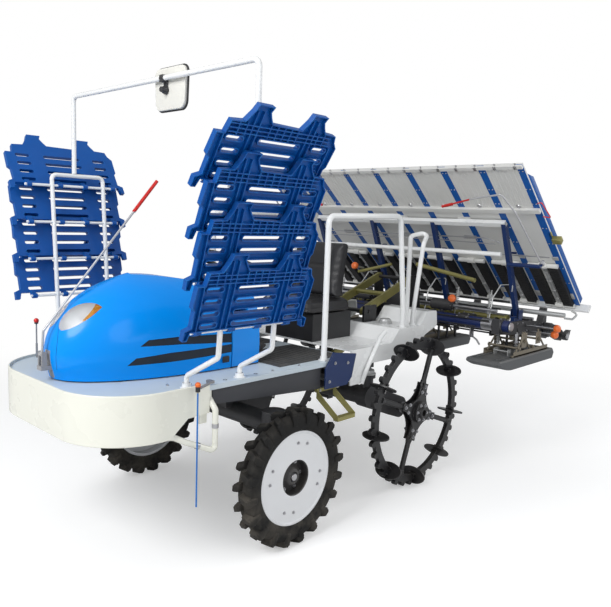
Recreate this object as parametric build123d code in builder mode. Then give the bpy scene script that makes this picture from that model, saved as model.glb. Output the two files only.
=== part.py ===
from build123d import *
from math import atan2, cos, degrees, hypot, radians, sin
import os

# Riding rice transplanter, eight rows.  Millimetres, +X forward, +Y the machine's left, +Z up.
# The origin is on the ground under the middle of the machine.

os.makedirs("parts", exist_ok=True)
SIDES = (("left", 1), ("right", -1))

# ---- driving dimensions -------------------------------------------------------------------------
wheelbase = 1040
front_axle_x = 790
rear_axle_x = front_axle_x - wheelbase
front_tyre_radius = 325
front_tyre_width = 92
front_track = 1195
front_disc_radius = 232
rear_wheel_radius = 433
rear_track = 1160
kingpin_y = 470
kingpin_radius = 24
running_gap = 0.3          # radial clearance of a pin or shaft in its hole
moving_gap = 8             # clearance between pieces that pass each other

rail_height = 640          # middle of the chassis rails
rail_y = 175
rail_tube = (56, 70)       # width and height of a chassis rail

bumper_front_x = 1720
bumper_half_width = 500
bumper_corner_radius = 290
bumper_top = 812
bumper_bottom = 606
bumper_wall = 7
bumper_rear_x = 1200
deck_top = 800
deck_thickness = 22
deck_rear_x = 240

hood_rear_x = 918
hood_wall = 6
hood_hinge_x = hood_rear_x - 22
hood_hinge_z = 1172
hood_turn_x = 930          # where the bonnet's straight sides start to close into the nose
hood_levels = ((806, 300, 1645), (870, 305, 1662), (940, 305, 1664), (1010, 298, 1640), (1080, 280, 1590),
               (1140, 245, 1520), (1190, 185, 1430), (1222, 110, 1350), (1244, 40, 1270))   # z, half width, nose x
hood_ridge = ((660, 1110), (918, 1187), (1284, 1236))      # x and z of three points on its top line
cowl_rear_x = 742

tray_thickness = 8
tray_rib = 14              # depth of the ribs and rims under a tray
tray_leans = (17, 17, 22, 32)          # degrees from upright, folded, from the lowest tray up
tray_pitch = 188.5
tray_first_z = 1073
tray_first_y = 670         # the racks lean outwards
tray_step_y = 15
tray_middle_x = 1177
tray_count = len(tray_leans)
rack_tube_radius = 11
rack_leg_x = (1000, 1290)

mirror_bar_z = 2105
mirror_bar_x = 1165
mirror_bar_radius = 8

rows = 8
row_pitch = 250
table_top = (-490, 1840)       # x and z of the table's front edge, raised
table_bottom = (-1480, 1010)   # x and z of its planting edge
table_thickness = 14
rail_up = -464             # along the slope, where the upper rail runs
case_y = (-750, -250, 250, 750)
rotor_x = -1560
rotor_z = 800
rotor_reach = 160

lift_link = 520
lift_angle = 20            # degrees above level, raised
lower_pin = (-330, 640)
upper_pin = (-290, 960)
link_y = 130
beam_x = -865
beam_z = 900
cylinder_foot = (-110, 440)
cylinder_share = 0.5       # where along the lower links the cylinder pushes

slope = degrees(atan2(table_top[1] - table_bottom[1], table_top[0] - table_bottom[0]))
table_length = hypot(table_top[0] - table_bottom[0], table_top[1] - table_bottom[1])
table_half_width = rows * row_pitch / 2
link_run = lift_link * cos(radians(lift_angle))
link_rise = lift_link * sin(radians(lift_angle))


def bar(points, bend, radius):
    """A round bar along straight runs joined by arcs, added to the part being built."""
    with BuildLine() as route:
        if len(points) > 2:
            FilletPolyline(*points, radius=bend)
        else:
            Polyline(*points)
    with BuildSketch(Plane(origin=route.line @ 0, z_dir=route.line % 0)) as section:
        Circle(radius)
    sweep(section.sketch, path=route.line)


def rod(start, end, radius):
    """A straight round rod from one point to another, added to the part being built."""
    bar((start, end), 0, radius)


def block(low, high, mode=Mode.ADD):
    """A box between two corners, added to the part being built."""
    size = [b - a for a, b in zip(low, high)]
    with Locations(Vector(*low)):
        Box(*size, align=(Align.MIN,) * 3, mode=mode)


def shaft(centre, radius, length, mode=Mode.ADD):
    """A cylinder along Y, centred on a point."""
    with Locations(Location(centre, (90, 0, 0))):
        Cylinder(radius, length, mode=mode)


def save(builder, name):
    builder.part.label = name
    export_step(builder.part, f"parts/{name}.step")


# ---- chassis ------------------------------------------------------------------------------------
rail_low = rail_height - rail_tube[1] / 2
rail_high = rail_height + rail_tube[1] / 2
rail_front_x = 1560
rail_rear_x = -300
tower_x = (-330, -270)
tower_top = upper_pin[1] + 40
pin_radius = 12
plate_thickness = 12
tow_hole_radius = 10.5     # for a 20 mm pin

with BuildPart() as main_frame:
    for side in (1, -1):
        y = side * rail_y
        block((rail_rear_x, y - rail_tube[0] / 2, rail_low), (rail_front_x, y + rail_tube[0] / 2, rail_high))
    for x in (1500, 1090, 400, cylinder_foot[0] - 25, rail_rear_x + 20):
        block((x, -rail_y, rail_low + 8), (x + 50, rail_y, rail_high - 8))
    for x in (1300, 330, 120):      # outriggers that carry the deck's edges
        for side in (1, -1):
            y_low, y_high = sorted((side * rail_y, side * 465))
            block((x, y_low, rail_high - 30), (x + 36, y_high, rail_high))
    for side in (1, -1):            # rear towers that carry the lift links
        y = side * (link_y + 40)
        block((tower_x[0] - 30, y - 8, rail_low), (tower_x[1] + 30, y + 8, tower_top))
    shaft((lower_pin[0], 0, lower_pin[1]), pin_radius, 2 * link_y + 110)
    shaft((upper_pin[0], 0, upper_pin[1]), pin_radius, 2 * link_y + 110)
    for side in (1, -1):            # ears that hold the foot of the lift cylinder
        y_low, y_high = sorted((side * 36, side * 44))
        block((cylinder_foot[0] - 24, y_low, cylinder_foot[1] - 22), (cylinder_foot[0] + 24, y_high, rail_low + 12))
    shaft((cylinder_foot[0], 0, cylinder_foot[1]), pin_radius, 80)
    # tow plate under the nose and tie-down plates under the rear ends of the rails
    block((rail_front_x - 70, -rail_y, rail_low), (rail_front_x, rail_y, rail_low + plate_thickness))
    block((rail_front_x - 1, -45, rail_low), (rail_front_x + 90, 45, rail_low + plate_thickness))
    with Locations((rail_front_x + 55, 0, rail_low)):
        Cylinder(tow_hole_radius, 40, mode=Mode.SUBTRACT)
    for side in (1, -1):
        block((rail_rear_x + 10, side * rail_y - 5, rail_low - 50), (rail_rear_x + 70, side * rail_y + 5, rail_low + 1))
        shaft((rail_rear_x + 40, side * rail_y, rail_low - 25), tow_hole_radius, 40, mode=Mode.SUBTRACT)
save(main_frame, "main_frame")

engine_low = rail_high
with BuildPart() as engine_block:
    block((1010, -190, engine_low), (1430, 190, engine_low + 330))
save(engine_block, "engine_block")

with BuildPart() as transmission_case:
    with BuildSketch(Plane.XZ) as side_view:
        with Locations((600, 575)):
            RectangleRounded(270, 190, 45)
    extrude(side_view.sketch, amount=105, both=True)
    for x in (500, 660):            # lugs that hang it from the rails
        inner_face = rail_y - rail_tube[0] / 2
        block((x, -inner_face, rail_height - 20), (x + 50, inner_face, rail_height + 20))
save(transmission_case, "transmission_case")

# ---- front axle, knuckles and wheels ------------------------------------------------------------
axle_beam_z = 545
kingpin_bottom = 455
with BuildPart() as front_axle_case:
    shaft((front_axle_x, 0, axle_beam_z), 48, 2 * kingpin_y)
    for side in (1, -1):
        y_low, y_high = sorted((side * (rail_y - 28), side * (rail_y + 28)))
        block((front_axle_x - 70, y_low, axle_beam_z + 30), (front_axle_x + 70, y_high, rail_low))
    for side in (1, -1):
        with Locations((front_axle_x, side * kingpin_y, axle_beam_z)):
            Cylinder(58, 130)
        with Locations((front_axle_x, side * kingpin_y, axle_beam_z - 65)):
            Cylinder(kingpin_radius + running_gap, 140, mode=Mode.SUBTRACT)
save(front_axle_case, "front_axle_case")

knuckle_top = axle_beam_z - 65 - 1
for name, side in SIDES:
    with BuildPart() as knuckle:
        with Locations((front_axle_x, side * kingpin_y, (knuckle_top + front_tyre_radius) / 2)):
            Cylinder(50, knuckle_top - front_tyre_radius)
        with Locations((front_axle_x, side * kingpin_y, knuckle_top + 30)):
            Cylinder(kingpin_radius, 60)
        shaft((front_axle_x, side * kingpin_y, front_tyre_radius), 66, 84)
        shaft((front_axle_x, side * (kingpin_y + 65), front_tyre_radius), 20, 130)
    save(knuckle, f"steering_knuckle_{name}")

    wheel_y = side * front_track / 2
    tyre_plane = Plane((front_axle_x, wheel_y, front_tyre_radius), x_dir=(0, 0, 1), z_dir=(1, 0, 0))
    axle_line = Axis((front_axle_x, wheel_y, front_tyre_radius), (0, 1, 0))
    bulge = front_tyre_width / 2
    tyre_wall = ((front_disc_radius - 10, bulge - 12), (front_disc_radius + 10, bulge - 3), (front_disc_radius + 34, bulge),
                 (front_tyre_radius - 30, bulge - 2), (front_tyre_radius - 12, bulge - 12),
                 (front_tyre_radius - 3, bulge - 26), (front_tyre_radius, bulge - 42))
    with BuildPart() as tyre:
        with BuildSketch(tyre_plane):
            with BuildLine():
                Polyline(*tyre_wall, *[(radius, -across) for radius, across in reversed(tyre_wall)], close=True)
            make_face()
        revolve(axis=axle_line)
    save(tyre, f"front_tyre_{name}")

    # the disc: a bead band, a flat outer plate, and a deep cup for the hub
    rim = front_disc_radius - 10 - running_gap
    disc_profile = ((20.3, -30), (48, -30), (48, -20), (88, -20), (88, 22), (rim - 14, 22), (rim - 14, -30), (rim, -30),
                    (rim, 34), (rim - 8, 34), (rim - 14, 30), (84, 30), (80, 26), (80, -12), (40, -12), (40, 12),
                    (20.3, 12))
    with BuildPart() as disc:
        with BuildSketch(tyre_plane):
            with BuildLine():
                Polyline(*[(radius, -side * out) for radius, out in disc_profile], close=True)
            make_face()
        revolve(axis=axle_line)
    save(disc, f"front_wheel_disc_{name}")

# ---- rear axle and wheels -----------------------------------------------------------------------
final_case_y = 430
final_drop = (30, 540)          # x and z of the upper end of each final case
drop_length = hypot(final_drop[0] - rear_axle_x, final_drop[1] - rear_wheel_radius)
drop_angle = degrees(atan2(final_drop[1] - rear_wheel_radius, final_drop[0] - rear_axle_x))
drop_middle = ((rear_axle_x + final_drop[0]) / 2, (rear_wheel_radius + final_drop[1]) / 2)
stub_radius = 18
with BuildPart() as rear_axle_case:
    shaft((final_drop[0], 0, final_drop[1]), 52, 2 * final_case_y)
    for side in (1, -1):
        y = side * final_case_y
        with BuildSketch(Plane.XZ.offset(-y)) as case_outline:
            with Locations(drop_middle):
                SlotCenterToCenter(drop_length, 124, rotation=drop_angle)
        extrude(case_outline.sketch, amount=38, both=True)
        with Locations((final_drop[0], y, final_drop[1] + 62)):
            Cylinder(34, 90)
        with Locations((final_drop[0], y, final_drop[1] + 117)):
            Cylinder(46, 20)
        shaft((rear_axle_x, side * (final_case_y + 75), rear_wheel_radius), stub_radius, 150)
        y_low, y_high = sorted((side * (rail_y - 20), side * (rail_y + 20)))
        block((final_drop[0] - 60, y_low, final_drop[1] + 30), (final_drop[0] + 60, y_high, rail_low))
save(rear_axle_case, "rear_axle_case")

rim_radius = 388
rim_section = (40, 26)         # radial and across the wheel
tooth_count = 36
tooth_radius = 17
spoke_count = 4
spoke_phase = 20
spoke_radius = 15
spider_reach = 168
spider_arm = 46
spider_waist = 82
paddle_count = 9
paddle_size = (100, 168)       # radial and across the wheel
paddle_thickness = 8

with BuildPart() as paddle:         # an oval plate that stands across the wheel
    with BuildSketch(Plane.XZ):
        Ellipse(paddle_size[0] / 2, paddle_size[1] / 2)
    extrude(amount=paddle_thickness / 2, both=True)

with BuildPart() as spider:         # the hub plate: one arm for each spoke, hollowed between them
    with BuildSketch():
        with BuildLine():
            for arm in range(spoke_count):
                here = spoke_phase + arm * 360 / spoke_count
                following = here + 360 / spoke_count
                arm_left = Vector(spider_reach, spider_arm / 2).rotate(Axis.Z, here)
                Line(Vector(spider_reach, -spider_arm / 2).rotate(Axis.Z, here), arm_left)
                ThreePointArc(arm_left, Vector(spider_waist, 0).rotate(Axis.Z, (here + following) / 2),
                              Vector(spider_reach, -spider_arm / 2).rotate(Axis.Z, following))
        make_face()
    extrude(amount=4, both=True)

for name, side in SIDES:
    axle_point = (rear_axle_x, side * rear_track / 2, rear_wheel_radius)
    across_wheel = Location(axle_point, (90, 0, 0))
    with BuildPart() as rear_wheel:
        with BuildSketch(Plane(across_wheel).offset(-rim_section[1] / 2)):
            Circle(rim_radius + rim_section[0] / 2)
            with PolarLocations(rear_wheel_radius - tooth_radius, tooth_count, start_angle=-90 + 180 / tooth_count):
                Circle(tooth_radius)
            Circle(rim_radius - rim_section[0] / 2, mode=Mode.SUBTRACT)
        extrude(amount=rim_section[1])
        shaft(axle_point, 62, 84)
        with Locations(across_wheel):
            with PolarLocations((rim_radius + 50) / 2, spoke_count, start_angle=spoke_phase):
                Cylinder(spoke_radius, rim_radius - 50, rotation=(0, 90, 0))
            with PolarLocations(rear_wheel_radius - paddle_size[0] / 2, paddle_count, start_angle=-90):
                add(paddle.part)
            with Locations((0, 0, 20), (0, 0, -20)):
                add(spider.part)
        shaft(axle_point, stub_radius + running_gap, 200, mode=Mode.SUBTRACT)
    save(rear_wheel, f"rear_wheel_{name}")

# ---- body ---------------------------------------------------------------------------------------
def plan_outline(inset, rear_x):
    """The rounded plan of the nose, drawn inset from the bumper's outside face."""
    front = bumper_front_x - inset
    half = bumper_half_width - inset
    with BuildSketch() as plan:
        with Locations(((front + rear_x) / 2, 0)):
            Rectangle(front - rear_x, 2 * half)
        fillet(plan.vertices().group_by(Axis.X)[-1], bumper_corner_radius - inset)
    return plan.sketch


with BuildPart() as front_bumper:
    outer = plan_outline(0, bumper_rear_x)
    inner = plan_outline(bumper_wall, bumper_rear_x - 1)
    extrude(outer.moved(Location((0, 0, bumper_bottom))), amount=bumper_top - bumper_bottom)
    fillet(front_bumper.edges().filter_by(Plane.XY), 5)
    extrude(inner.moved(Location((0, 0, bumper_bottom - 1))), amount=bumper_top, mode=Mode.SUBTRACT)
    with BuildSketch(Plane.XZ) as arch:      # the rear of each side rises over the front wheel
        with BuildLine():
            Polyline((bumper_rear_x - 1, bumper_bottom - 1), (1400, bumper_bottom - 1), (1310, 680),
                     (bumper_rear_x - 1, 684), close=True)
        make_face()
    extrude(arch.sketch, amount=bumper_half_width + 1, both=True, mode=Mode.SUBTRACT)
save(front_bumper, "front_bumper")

deck_gap = 0.5
with BuildPart() as floor_deck:
    deck_plan = plan_outline(bumper_wall + deck_gap, deck_rear_x)
    extrude(deck_plan.moved(Location((0, 0, deck_top - deck_thickness))), amount=deck_thickness)
    block((990, -210, deck_top - 60), (1450, 210, deck_top + 1), mode=Mode.SUBTRACT)
    for side in (1, -1):            # posts down to the chassis rails
        for x in (1480, 760, 420):
            y = side * rail_y
            block((x, y - 20, rail_high), (x + 40, y + 20, deck_top - deck_thickness))
save(floor_deck, "floor_deck")


def hood_form(inset, rear_x):
    """The rounded form of bonnet and cowl, or with an inset the hollow inside it."""
    with BuildPart() as form:
        for z, half, nose in hood_levels:
            half -= inset
            nose -= inset
            with BuildSketch(Plane.XY.offset(z - inset)):
                with BuildLine():
                    for turn in (1, -1):
                        Line((rear_x, turn * half), (hood_turn_x, turn * half))
                        Bezier((hood_turn_x, turn * half), (hood_turn_x + 0.55 * (nose - hood_turn_x), turn * half),
                               (nose, turn * 0.6 * half), (nose, 0))
                    Line((rear_x, half), (rear_x, -half))
                make_face()
        loft()
        with BuildSketch(Plane.XZ):         # the top falls away to the rear
            with BuildLine():
                ridge = [(x, z - inset) for x, z in hood_ridge]
                ThreePointArc(*ridge)
                Line(ridge[2], (ridge[2][0], 1400))
                Line((ridge[2][0], 1400), (ridge[0][0], 1400))
                Line((ridge[0][0], 1400), ridge[0])
            make_face()
        extrude(amount=600, both=True, mode=Mode.SUBTRACT)
    return form.part


lamp_depth = 16
lamp_arcs = (((50, 1015), (13, 1050), (34, 1114)), ((34, 1114), (78, 1127), (128, 1112)),
             ((128, 1112), (112, 1052), (50, 1015)))       # y and z, seen from the front
band_loops = (((1375, 948), (1338, 974), (1195, 979), (hood_rear_x - 1, 968), (hood_rear_x - 1, 925), (1195, 944)),
              ((1428, 868), (1392, 899), (1245, 911), (hood_rear_x - 1, 918), (hood_rear_x - 1, 880), (1245, 870)))
band_depth = 2.5


def lamp_prism(inset):
    """A bar with the outline of both headlamps, seen from the front."""
    with BuildPart() as prism:
        with BuildSketch(Plane.YZ.offset(1380)) as lamp_outline:
            for turn in (1, -1):
                with BuildLine():
                    for arc in lamp_arcs:
                        ThreePointArc(*[(turn * y, z) for y, z in arc])
                make_face()
            offset(amount=-inset)
        extrude(lamp_outline.sketch, amount=400)
    return prism.part


with BuildPart() as hood_bands:     # the two tapered bands along each side, as deep as they are sunk
    for loop in band_loops:
        with BuildSketch(Plane.XZ):
            with BuildLine():
                Polyline(*loop, close=True)
            make_face()
        extrude(amount=400, both=True)
    add(hood_form(band_depth, hood_rear_x - 10), mode=Mode.SUBTRACT)

hood_solid = hood_form(0, hood_rear_x)
marker_pin = (1688, 0, 915)        # the centre marker tilts about this pin on the bonnet's nose
marker_pin_radius = 4
with BuildPart() as hood:
    add(hood_solid)
    add(hood_form(hood_wall, hood_rear_x - 10), mode=Mode.SUBTRACT)
    add(lamp_prism(0), mode=Mode.SUBTRACT)
    add(hood_bands.part, mode=Mode.SUBTRACT)
    for side in (1, -1):            # hinge eyes behind the rear edge
        y_low, y_high = sorted((side * 90, side * 130))
        block((hood_hinge_x - 12, y_low, hood_hinge_z - 12), (hood_rear_x + 12, y_high, hood_hinge_z + 10))
    shaft((hood_hinge_x, 0, hood_hinge_z), 6 + running_gap, 400, mode=Mode.SUBTRACT)
    block((1646, -20, 848), (marker_pin[0] + 14, 20, 866))      # the centre marker's foot
    for side in (1, -1):
        y_low, y_high = sorted((side * 12, side * 20))
        block((marker_pin[0] - 10, y_low, 860), (marker_pin[0] + 10, y_high, marker_pin[2] + 12))
    shaft(marker_pin, marker_pin_radius, 30)
save(hood, "hood")

with BuildPart() as headlamps:
    add(hood_solid)
    add(hood_form(lamp_depth, hood_rear_x - 10), mode=Mode.SUBTRACT)
    add(lamp_prism(0.4), mode=Mode.INTERSECT)
save(headlamps, "headlamps")

cowl_front_x = hood_rear_x - 6
cowl_wall = 14
wheel_hub = (668, 0, 1262)
column_direction = Vector(-0.42, 0, 1).normalized()
with BuildPart() as dash_console:
    add(hood_form(0, cowl_rear_x))
    block((cowl_front_x, -400, 700), (1700, 400, 1300), mode=Mode.SUBTRACT)
    block((cowl_rear_x, -hood_levels[0][1], deck_top), (cowl_front_x, hood_levels[0][1], hood_levels[0][0] + 1))
    block((cowl_rear_x + 60, -hood_levels[0][1] + cowl_wall, deck_top - 1), (cowl_front_x + 1, hood_levels[0][1] - cowl_wall, 1090),
          mode=Mode.SUBTRACT)
    # a pocket at the top for the bonnet's hinge, and the ears that hold its pins
    block((hood_hinge_x - 30, -200, hood_hinge_z - 36), (cowl_front_x + 1, 200, 1300), mode=Mode.SUBTRACT)
    for side in (1, -1):
        y_low, y_high = sorted((side * 140, side * 170))
        block((hood_hinge_x - 31, y_low, hood_hinge_z - 60), (hood_hinge_x + 10, y_high, hood_hinge_z + 10))
        with Locations(Location((hood_hinge_x, side * 125, hood_hinge_z), (90, 0, 0))):
            Cylinder(6, 90)
    rod(Vector(*wheel_hub) - column_direction * 230, Vector(*wheel_hub) - column_direction * 25.3, 22)
save(dash_console, "dash_console")

with BuildPart() as steering_wheel:
    column_plane = Plane(wheel_hub, z_dir=column_direction)
    with BuildSketch(Plane(wheel_hub, x_dir=column_plane.x_dir, z_dir=column_plane.y_dir)) as grip_section:
        with Locations((180, 0)):
            Circle(13)
    revolve(grip_section.sketch, axis=Axis(wheel_hub, column_direction))
    with Locations(column_plane):
        Cylinder(38, 50)
        with PolarLocations(90, 3, start_angle=90):
            Box(190, 26, 9)
save(steering_wheel, "steering_wheel")

# ---- driver's place and rear deck ---------------------------------------------------------------
with BuildPart() as seat_base:
    block((-95, -190, 832), (235, 190, 985))
save(seat_base, "seat_base")

with BuildPart() as seat_cushion:
    block((-100, -215, 985.3), (300, 215, 1065))
    fillet(seat_cushion.edges().filter_by(Axis.Z), 50)
save(seat_cushion, "seat_cushion")

with BuildPart() as seat_back:
    with BuildSketch(Plane.XZ) as back_outline:
        with BuildLine():
            Polyline((-20, 1065.3), (60, 1065.3), (-10, 1400), (-70, 1400), close=True)
        make_face()
        fillet(back_outline.vertices().group_by(Axis.Y)[-1], 24)
    extrude(back_outline.sketch, amount=205, both=True)
save(seat_back, "seat_back")

rear_deck_half = 478
deck_wall = 8
deck_step = ((-120, 832), (-190, 905), (-400, 905), (-470, 985), (-572, 985), (-585, 892), (-455, 845), (-330, 740),
             (60, 740), (120, 640))            # x and z round its top and underside
with BuildPart() as rear_deck:
    with BuildSketch(Plane.XZ):
        with BuildLine():
            Polyline((deck_rear_x - 1, 640), (deck_rear_x - 1, 832), *deck_step, close=True)
        make_face()
        deck_corners = fillet(vertices().filter_by_position(Axis.X, -590, 100), 16)
    extrude(amount=rear_deck_half, both=True)
    with BuildSketch(Plane.XZ):
        add(deck_corners)
        offset(amount=-deck_wall, mode=Mode.REPLACE)
        with Locations((169, 730)):         # open below and towards the floor, over the frame's rails
            Rectangle(144, 186)
        with Locations((-130, 740)):
            Rectangle(370, 30)
    extrude(amount=rear_deck_half - deck_wall, both=True, mode=Mode.SUBTRACT)
    block((tower_x[0] - 60, -link_y - 70, 700), (tower_x[1] + 60, link_y + 70, 1100), mode=Mode.SUBTRACT)
    block((tower_x[0] - 300, -link_y - 22, 700), (tower_x[0], link_y + 22, 1100), mode=Mode.SUBTRACT)
save(rear_deck, "rear_deck")

panel_y = bumper_half_width + 2
with BuildPart() as side_panels:
    for side in (1, -1):
        with BuildSketch(Plane.XZ.offset(-side * panel_y)) as panel_outline:
            with BuildLine():
                Polyline((232, 820), (414, 846), (470, 770), (470, 664), (300, 664), (262, 700), close=True)
            make_face()
        extrude(panel_outline.sketch, amount=4, both=True)
        y_low, y_high = sorted((side * 465, side * (panel_y - 4)))
        block((335, y_low, rail_high - 8), (361, y_high, rail_high))
save(side_panels, "side_panels")

with BuildPart() as side_steps:
    for side in (1, -1):
        for x in (372, 500):
            with BuildSketch(Plane.YZ.offset(x)) as hanger:
                with BuildLine():
                    Polyline((side * 478, 662), (side * 478, 620), (side * 610, 530), (side * 628, 556),
                             close=True)
                make_face()
            extrude(hanger.sketch, amount=4)
        y_low, y_high = sorted((side * 596, side * 626))
        block((372, y_low, 532), (504, y_high, 552))
        y_low, y_high = sorted((side * 465, side * 480))
        block((330, y_low, rail_high - 26), (504, y_high, rail_high - 9))
save(side_steps, "side_steps")

# the guard pipe hangs from the deck's edge and ends along the inside of the bumper
pipe_radius = 13
pipe_end_y = bumper_half_width - bumper_wall - pipe_radius - running_gap
guard_route = ((1186, 474, deck_top - deck_thickness), (1186, 474, 745), (1186, 522, 700), (1186, 522, 520),
               (1318, 500, 580), (1364, pipe_end_y, 606), (1426, pipe_end_y, 622))
with BuildPart() as guard_pipes:
    for side in (1, -1):
        bar([(x, side * y, z) for x, y, z in guard_route], 16, pipe_radius)
save(guard_pipes, "guard_pipes")

with BuildPart() as handrails:
    for side in (1, -1):
        bar([(x, side * y, z) for x, y, z in ((430, 452, deck_top), (430, 452, 1530), (-180, 452, 1545),
                                              (-250, 452, 1000), (-250, 452, 905))], 40, 15)
        bar([(x, side * y, z) for x, y, z in ((-320, 430, 905), (-320, 430, 1435), (-430, 480, 1462),
                                              (-320, 520, 1390), (-370, 440, 960), (-370, 440, 905))], 24, 13)
save(handrails, "handrails")

# ---- seedling racks and mirror ------------------------------------------------------------------
rack_top_z = 1695
hinge_rod_radius = 7
hinge_rod_x = (tray_middle_x - 255, tray_middle_x + 255)
plate_offset = 20          # from the hinge rod's middle to the tray's inner face
plate_start = 22           # and to the tray's lower edge
eye_offsets = (-235, -70, 70, 235)     # clear of the rack's legs
slot_rows = (45, 93, 142, 190)
slot_height = 18
slot_columns = ((-215, 76), (0, 208), (215, 76))       # middle and width
rim_width = 4
# a tray's outline, across and up from the hinge: its two ends, and one hook on its upper edge
tray_ends = (((-292, 22), (-300, -10), (-320, -10), (-320, 30), (-292, 42), (-292, 108), (-305, 120), (-300, 206),
              (-264, 206), (-256, 254)),
             ((274, 258), (284, 230), (306, 208), (303, 122), (292, 110), (292, 42), (320, 30), (320, -10),
              (300, -10), (292, 22)))
hook_edge = ((-70, 258), (-46, 296), (-35, 325), (38, 325), (29, 303), (40, 285), (58, 262))
hook_middles = (-126, 154)


def rack_y(z):
    """How far out the leaning rack stands at a height."""
    return tray_first_y + (z - tray_first_z) * tray_step_y / tray_pitch


with BuildPart() as tray_form:      # the left form: x to the rear along the rod, y up the tray, z outwards
    with BuildSketch(Plane.XY.offset(plate_offset)):
        with BuildLine():
            hooks = [(middle + x, v) for middle in hook_middles for x, v in hook_edge]
            Polyline(*tray_ends[0], *hooks, *tray_ends[1], close=True)
        tray_outline = make_face()
        for middle, width in slot_columns:
            with Locations(*[(middle, v) for v in slot_rows]):
                SlotOverall(width, slot_height, mode=Mode.SUBTRACT)
    extrude(amount=tray_thickness)
    with BuildSketch(Plane.XY.offset(plate_offset + tray_thickness)):
        # the edge rim
        add(tray_outline)
        offset(tray_outline, amount=-rim_width, mode=Mode.SUBTRACT)
        # rims round the slots
        for middle, width in slot_columns:
            with Locations(*[(middle, v) for v in slot_rows]):
                SlotOverall(width + 2 * rim_width, slot_height + 2 * rim_width)
                SlotOverall(width, slot_height, mode=Mode.SUBTRACT)
        # paired ribs from the lower edge into the hooks, and single ones beside the outer slots
        for side in (1, -1):
            for across in (126, 154):
                with Locations((side * across, (plate_start + 300) / 2)):
                    Rectangle(rim_width, 300 - plate_start)
            with Locations((side * 268, (plate_start + 204) / 2)):
                Rectangle(rim_width, 204 - plate_start)
        # a grid above the slots
        for v in (213, 229, 245):
            with Locations((0, v)):
                Rectangle(508, rim_width)
        for across in (-215, -180, -70, -35, 0, 35, 70, 180, 215):
            with Locations((across, 231)):
                Rectangle(rim_width, 50)
    extrude(amount=tray_rib)
    for x in eye_offsets:               # hinge eyes round the rack's rod
        with Locations((x, plate_start / 2 + 6, plate_offset - 4)):
            Box(24, plate_start + 12, 16)
        with Locations((x, 0, 0)):
            Cylinder(13, 24, rotation=(0, 90, 0))
    Cylinder(hinge_rod_radius + running_gap, 600, rotation=(0, 90, 0), mode=Mode.SUBTRACT)
tray_forms = {1: tray_form.part, -1: mirror(tray_form.part, about=Plane.YZ)}

for name, side in SIDES:
    with BuildPart() as rack_frame:
        bar([(x, side * y, z) for x, y, z in (
            (rack_leg_x[0], 458, deck_top), (rack_leg_x[0], 458, 850), (rack_leg_x[0], rack_y(960), 960),
            (rack_leg_x[0], rack_y(rack_top_z), rack_top_z), (rack_leg_x[1], rack_y(rack_top_z), rack_top_z),
            (rack_leg_x[1], rack_y(960), 960), (rack_leg_x[1], 458, 850), (rack_leg_x[1], 458, deck_top))],
            26, rack_tube_radius)
        for row in range(tray_count):
            z = tray_first_z + row * tray_pitch
            rod((hinge_rod_x[0], side * rack_y(z), z), (hinge_rod_x[1], side * rack_y(z), z), hinge_rod_radius)
    save(rack_frame, f"rack_frame_{name}")

    for row, lean in enumerate(tray_leans):
        z = tray_first_z + row * tray_pitch
        out = Plane((tray_middle_x, side * rack_y(z), z), x_dir=(-side, 0, 0),
                    z_dir=(0, side * cos(radians(lean)), -sin(radians(lean))))
        with BuildPart() as tray:
            with Locations(out):
                add(tray_forms[side])
        save(tray, f"seedling_tray_{name}_{row + 1}")

with BuildPart() as mirror_bar:
    y = rack_y(rack_top_z)
    foot_z = rack_top_z + rack_tube_radius + running_gap
    bar([(mirror_bar_x, -y, foot_z), (mirror_bar_x, -y, mirror_bar_z), (mirror_bar_x, y, mirror_bar_z),
         (mirror_bar_x, y, foot_z)], 24, mirror_bar_radius)
save(mirror_bar, "mirror_bar")

mirror_y = 116
with BuildPart() as rear_view_mirror:
    with BuildSketch(Plane((mirror_bar_x + 16, mirror_y, mirror_bar_z - 40), x_dir=(0, 1, 0), z_dir=(1, 0, 0))) as mirror_face:
        RectangleRounded(150, 200, 34)
    extrude(mirror_face.sketch, amount=18)
    block((mirror_bar_x - 16, mirror_y - 18, mirror_bar_z - 14), (mirror_bar_x + 17, mirror_y + 18, mirror_bar_z + 14))
    shaft((mirror_bar_x, mirror_y, mirror_bar_z), mirror_bar_radius + running_gap, 60, mode=Mode.SUBTRACT)
save(rear_view_mirror, "rear_view_mirror")

# ---- markers ------------------------------------------------------------------------------------
marker_bend = (1682, 0, 1012)
marker_tip = (1131, 0, 1661)
with BuildPart() as centre_marker:
    bar([(marker_pin[0], 0, marker_pin[2] + 6), marker_bend, marker_tip], 12, 5)
    direction = (Vector(*marker_tip) - Vector(*marker_bend)).normalized()
    rod(Vector(*marker_tip) - direction * 190, marker_tip, 8)
    shaft(marker_pin, 11, 22)
    shaft(marker_pin, marker_pin_radius + running_gap, 30, mode=Mode.SUBTRACT)
save(centre_marker, "centre_marker")

marker_rods = ((1505, -452, 862, 993), (1309, 560, 320, 846))   # x, y, foot z and top z of the edge markers
with BuildPart() as edge_markers:
    for x, y, z_low, z_high in marker_rods:
        rod((x, y, z_low), (x, y, z_high - 14), 3.5)
        with Locations((x, y, z_high - 12)):
            Sphere(12)
    rod((1505, -452, deck_top), (1505, -452, 870), 5)
    rod((1309, 562, 818), (1195, 506, 818), 6)
    block((1185, 480, 812), (1205, 512, 824))
save(edge_markers, "edge_markers")

# ---- lift links and cylinder --------------------------------------------------------------------
lower_rear = (lower_pin[0] - link_run, lower_pin[1] + link_rise)
upper_rear = (upper_pin[0] - link_run, upper_pin[1] + link_rise)
cylinder_eye = (lower_pin[0] - link_run * cylinder_share, lower_pin[1] + link_rise * cylinder_share)
cross_tube_radius = 17


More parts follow.
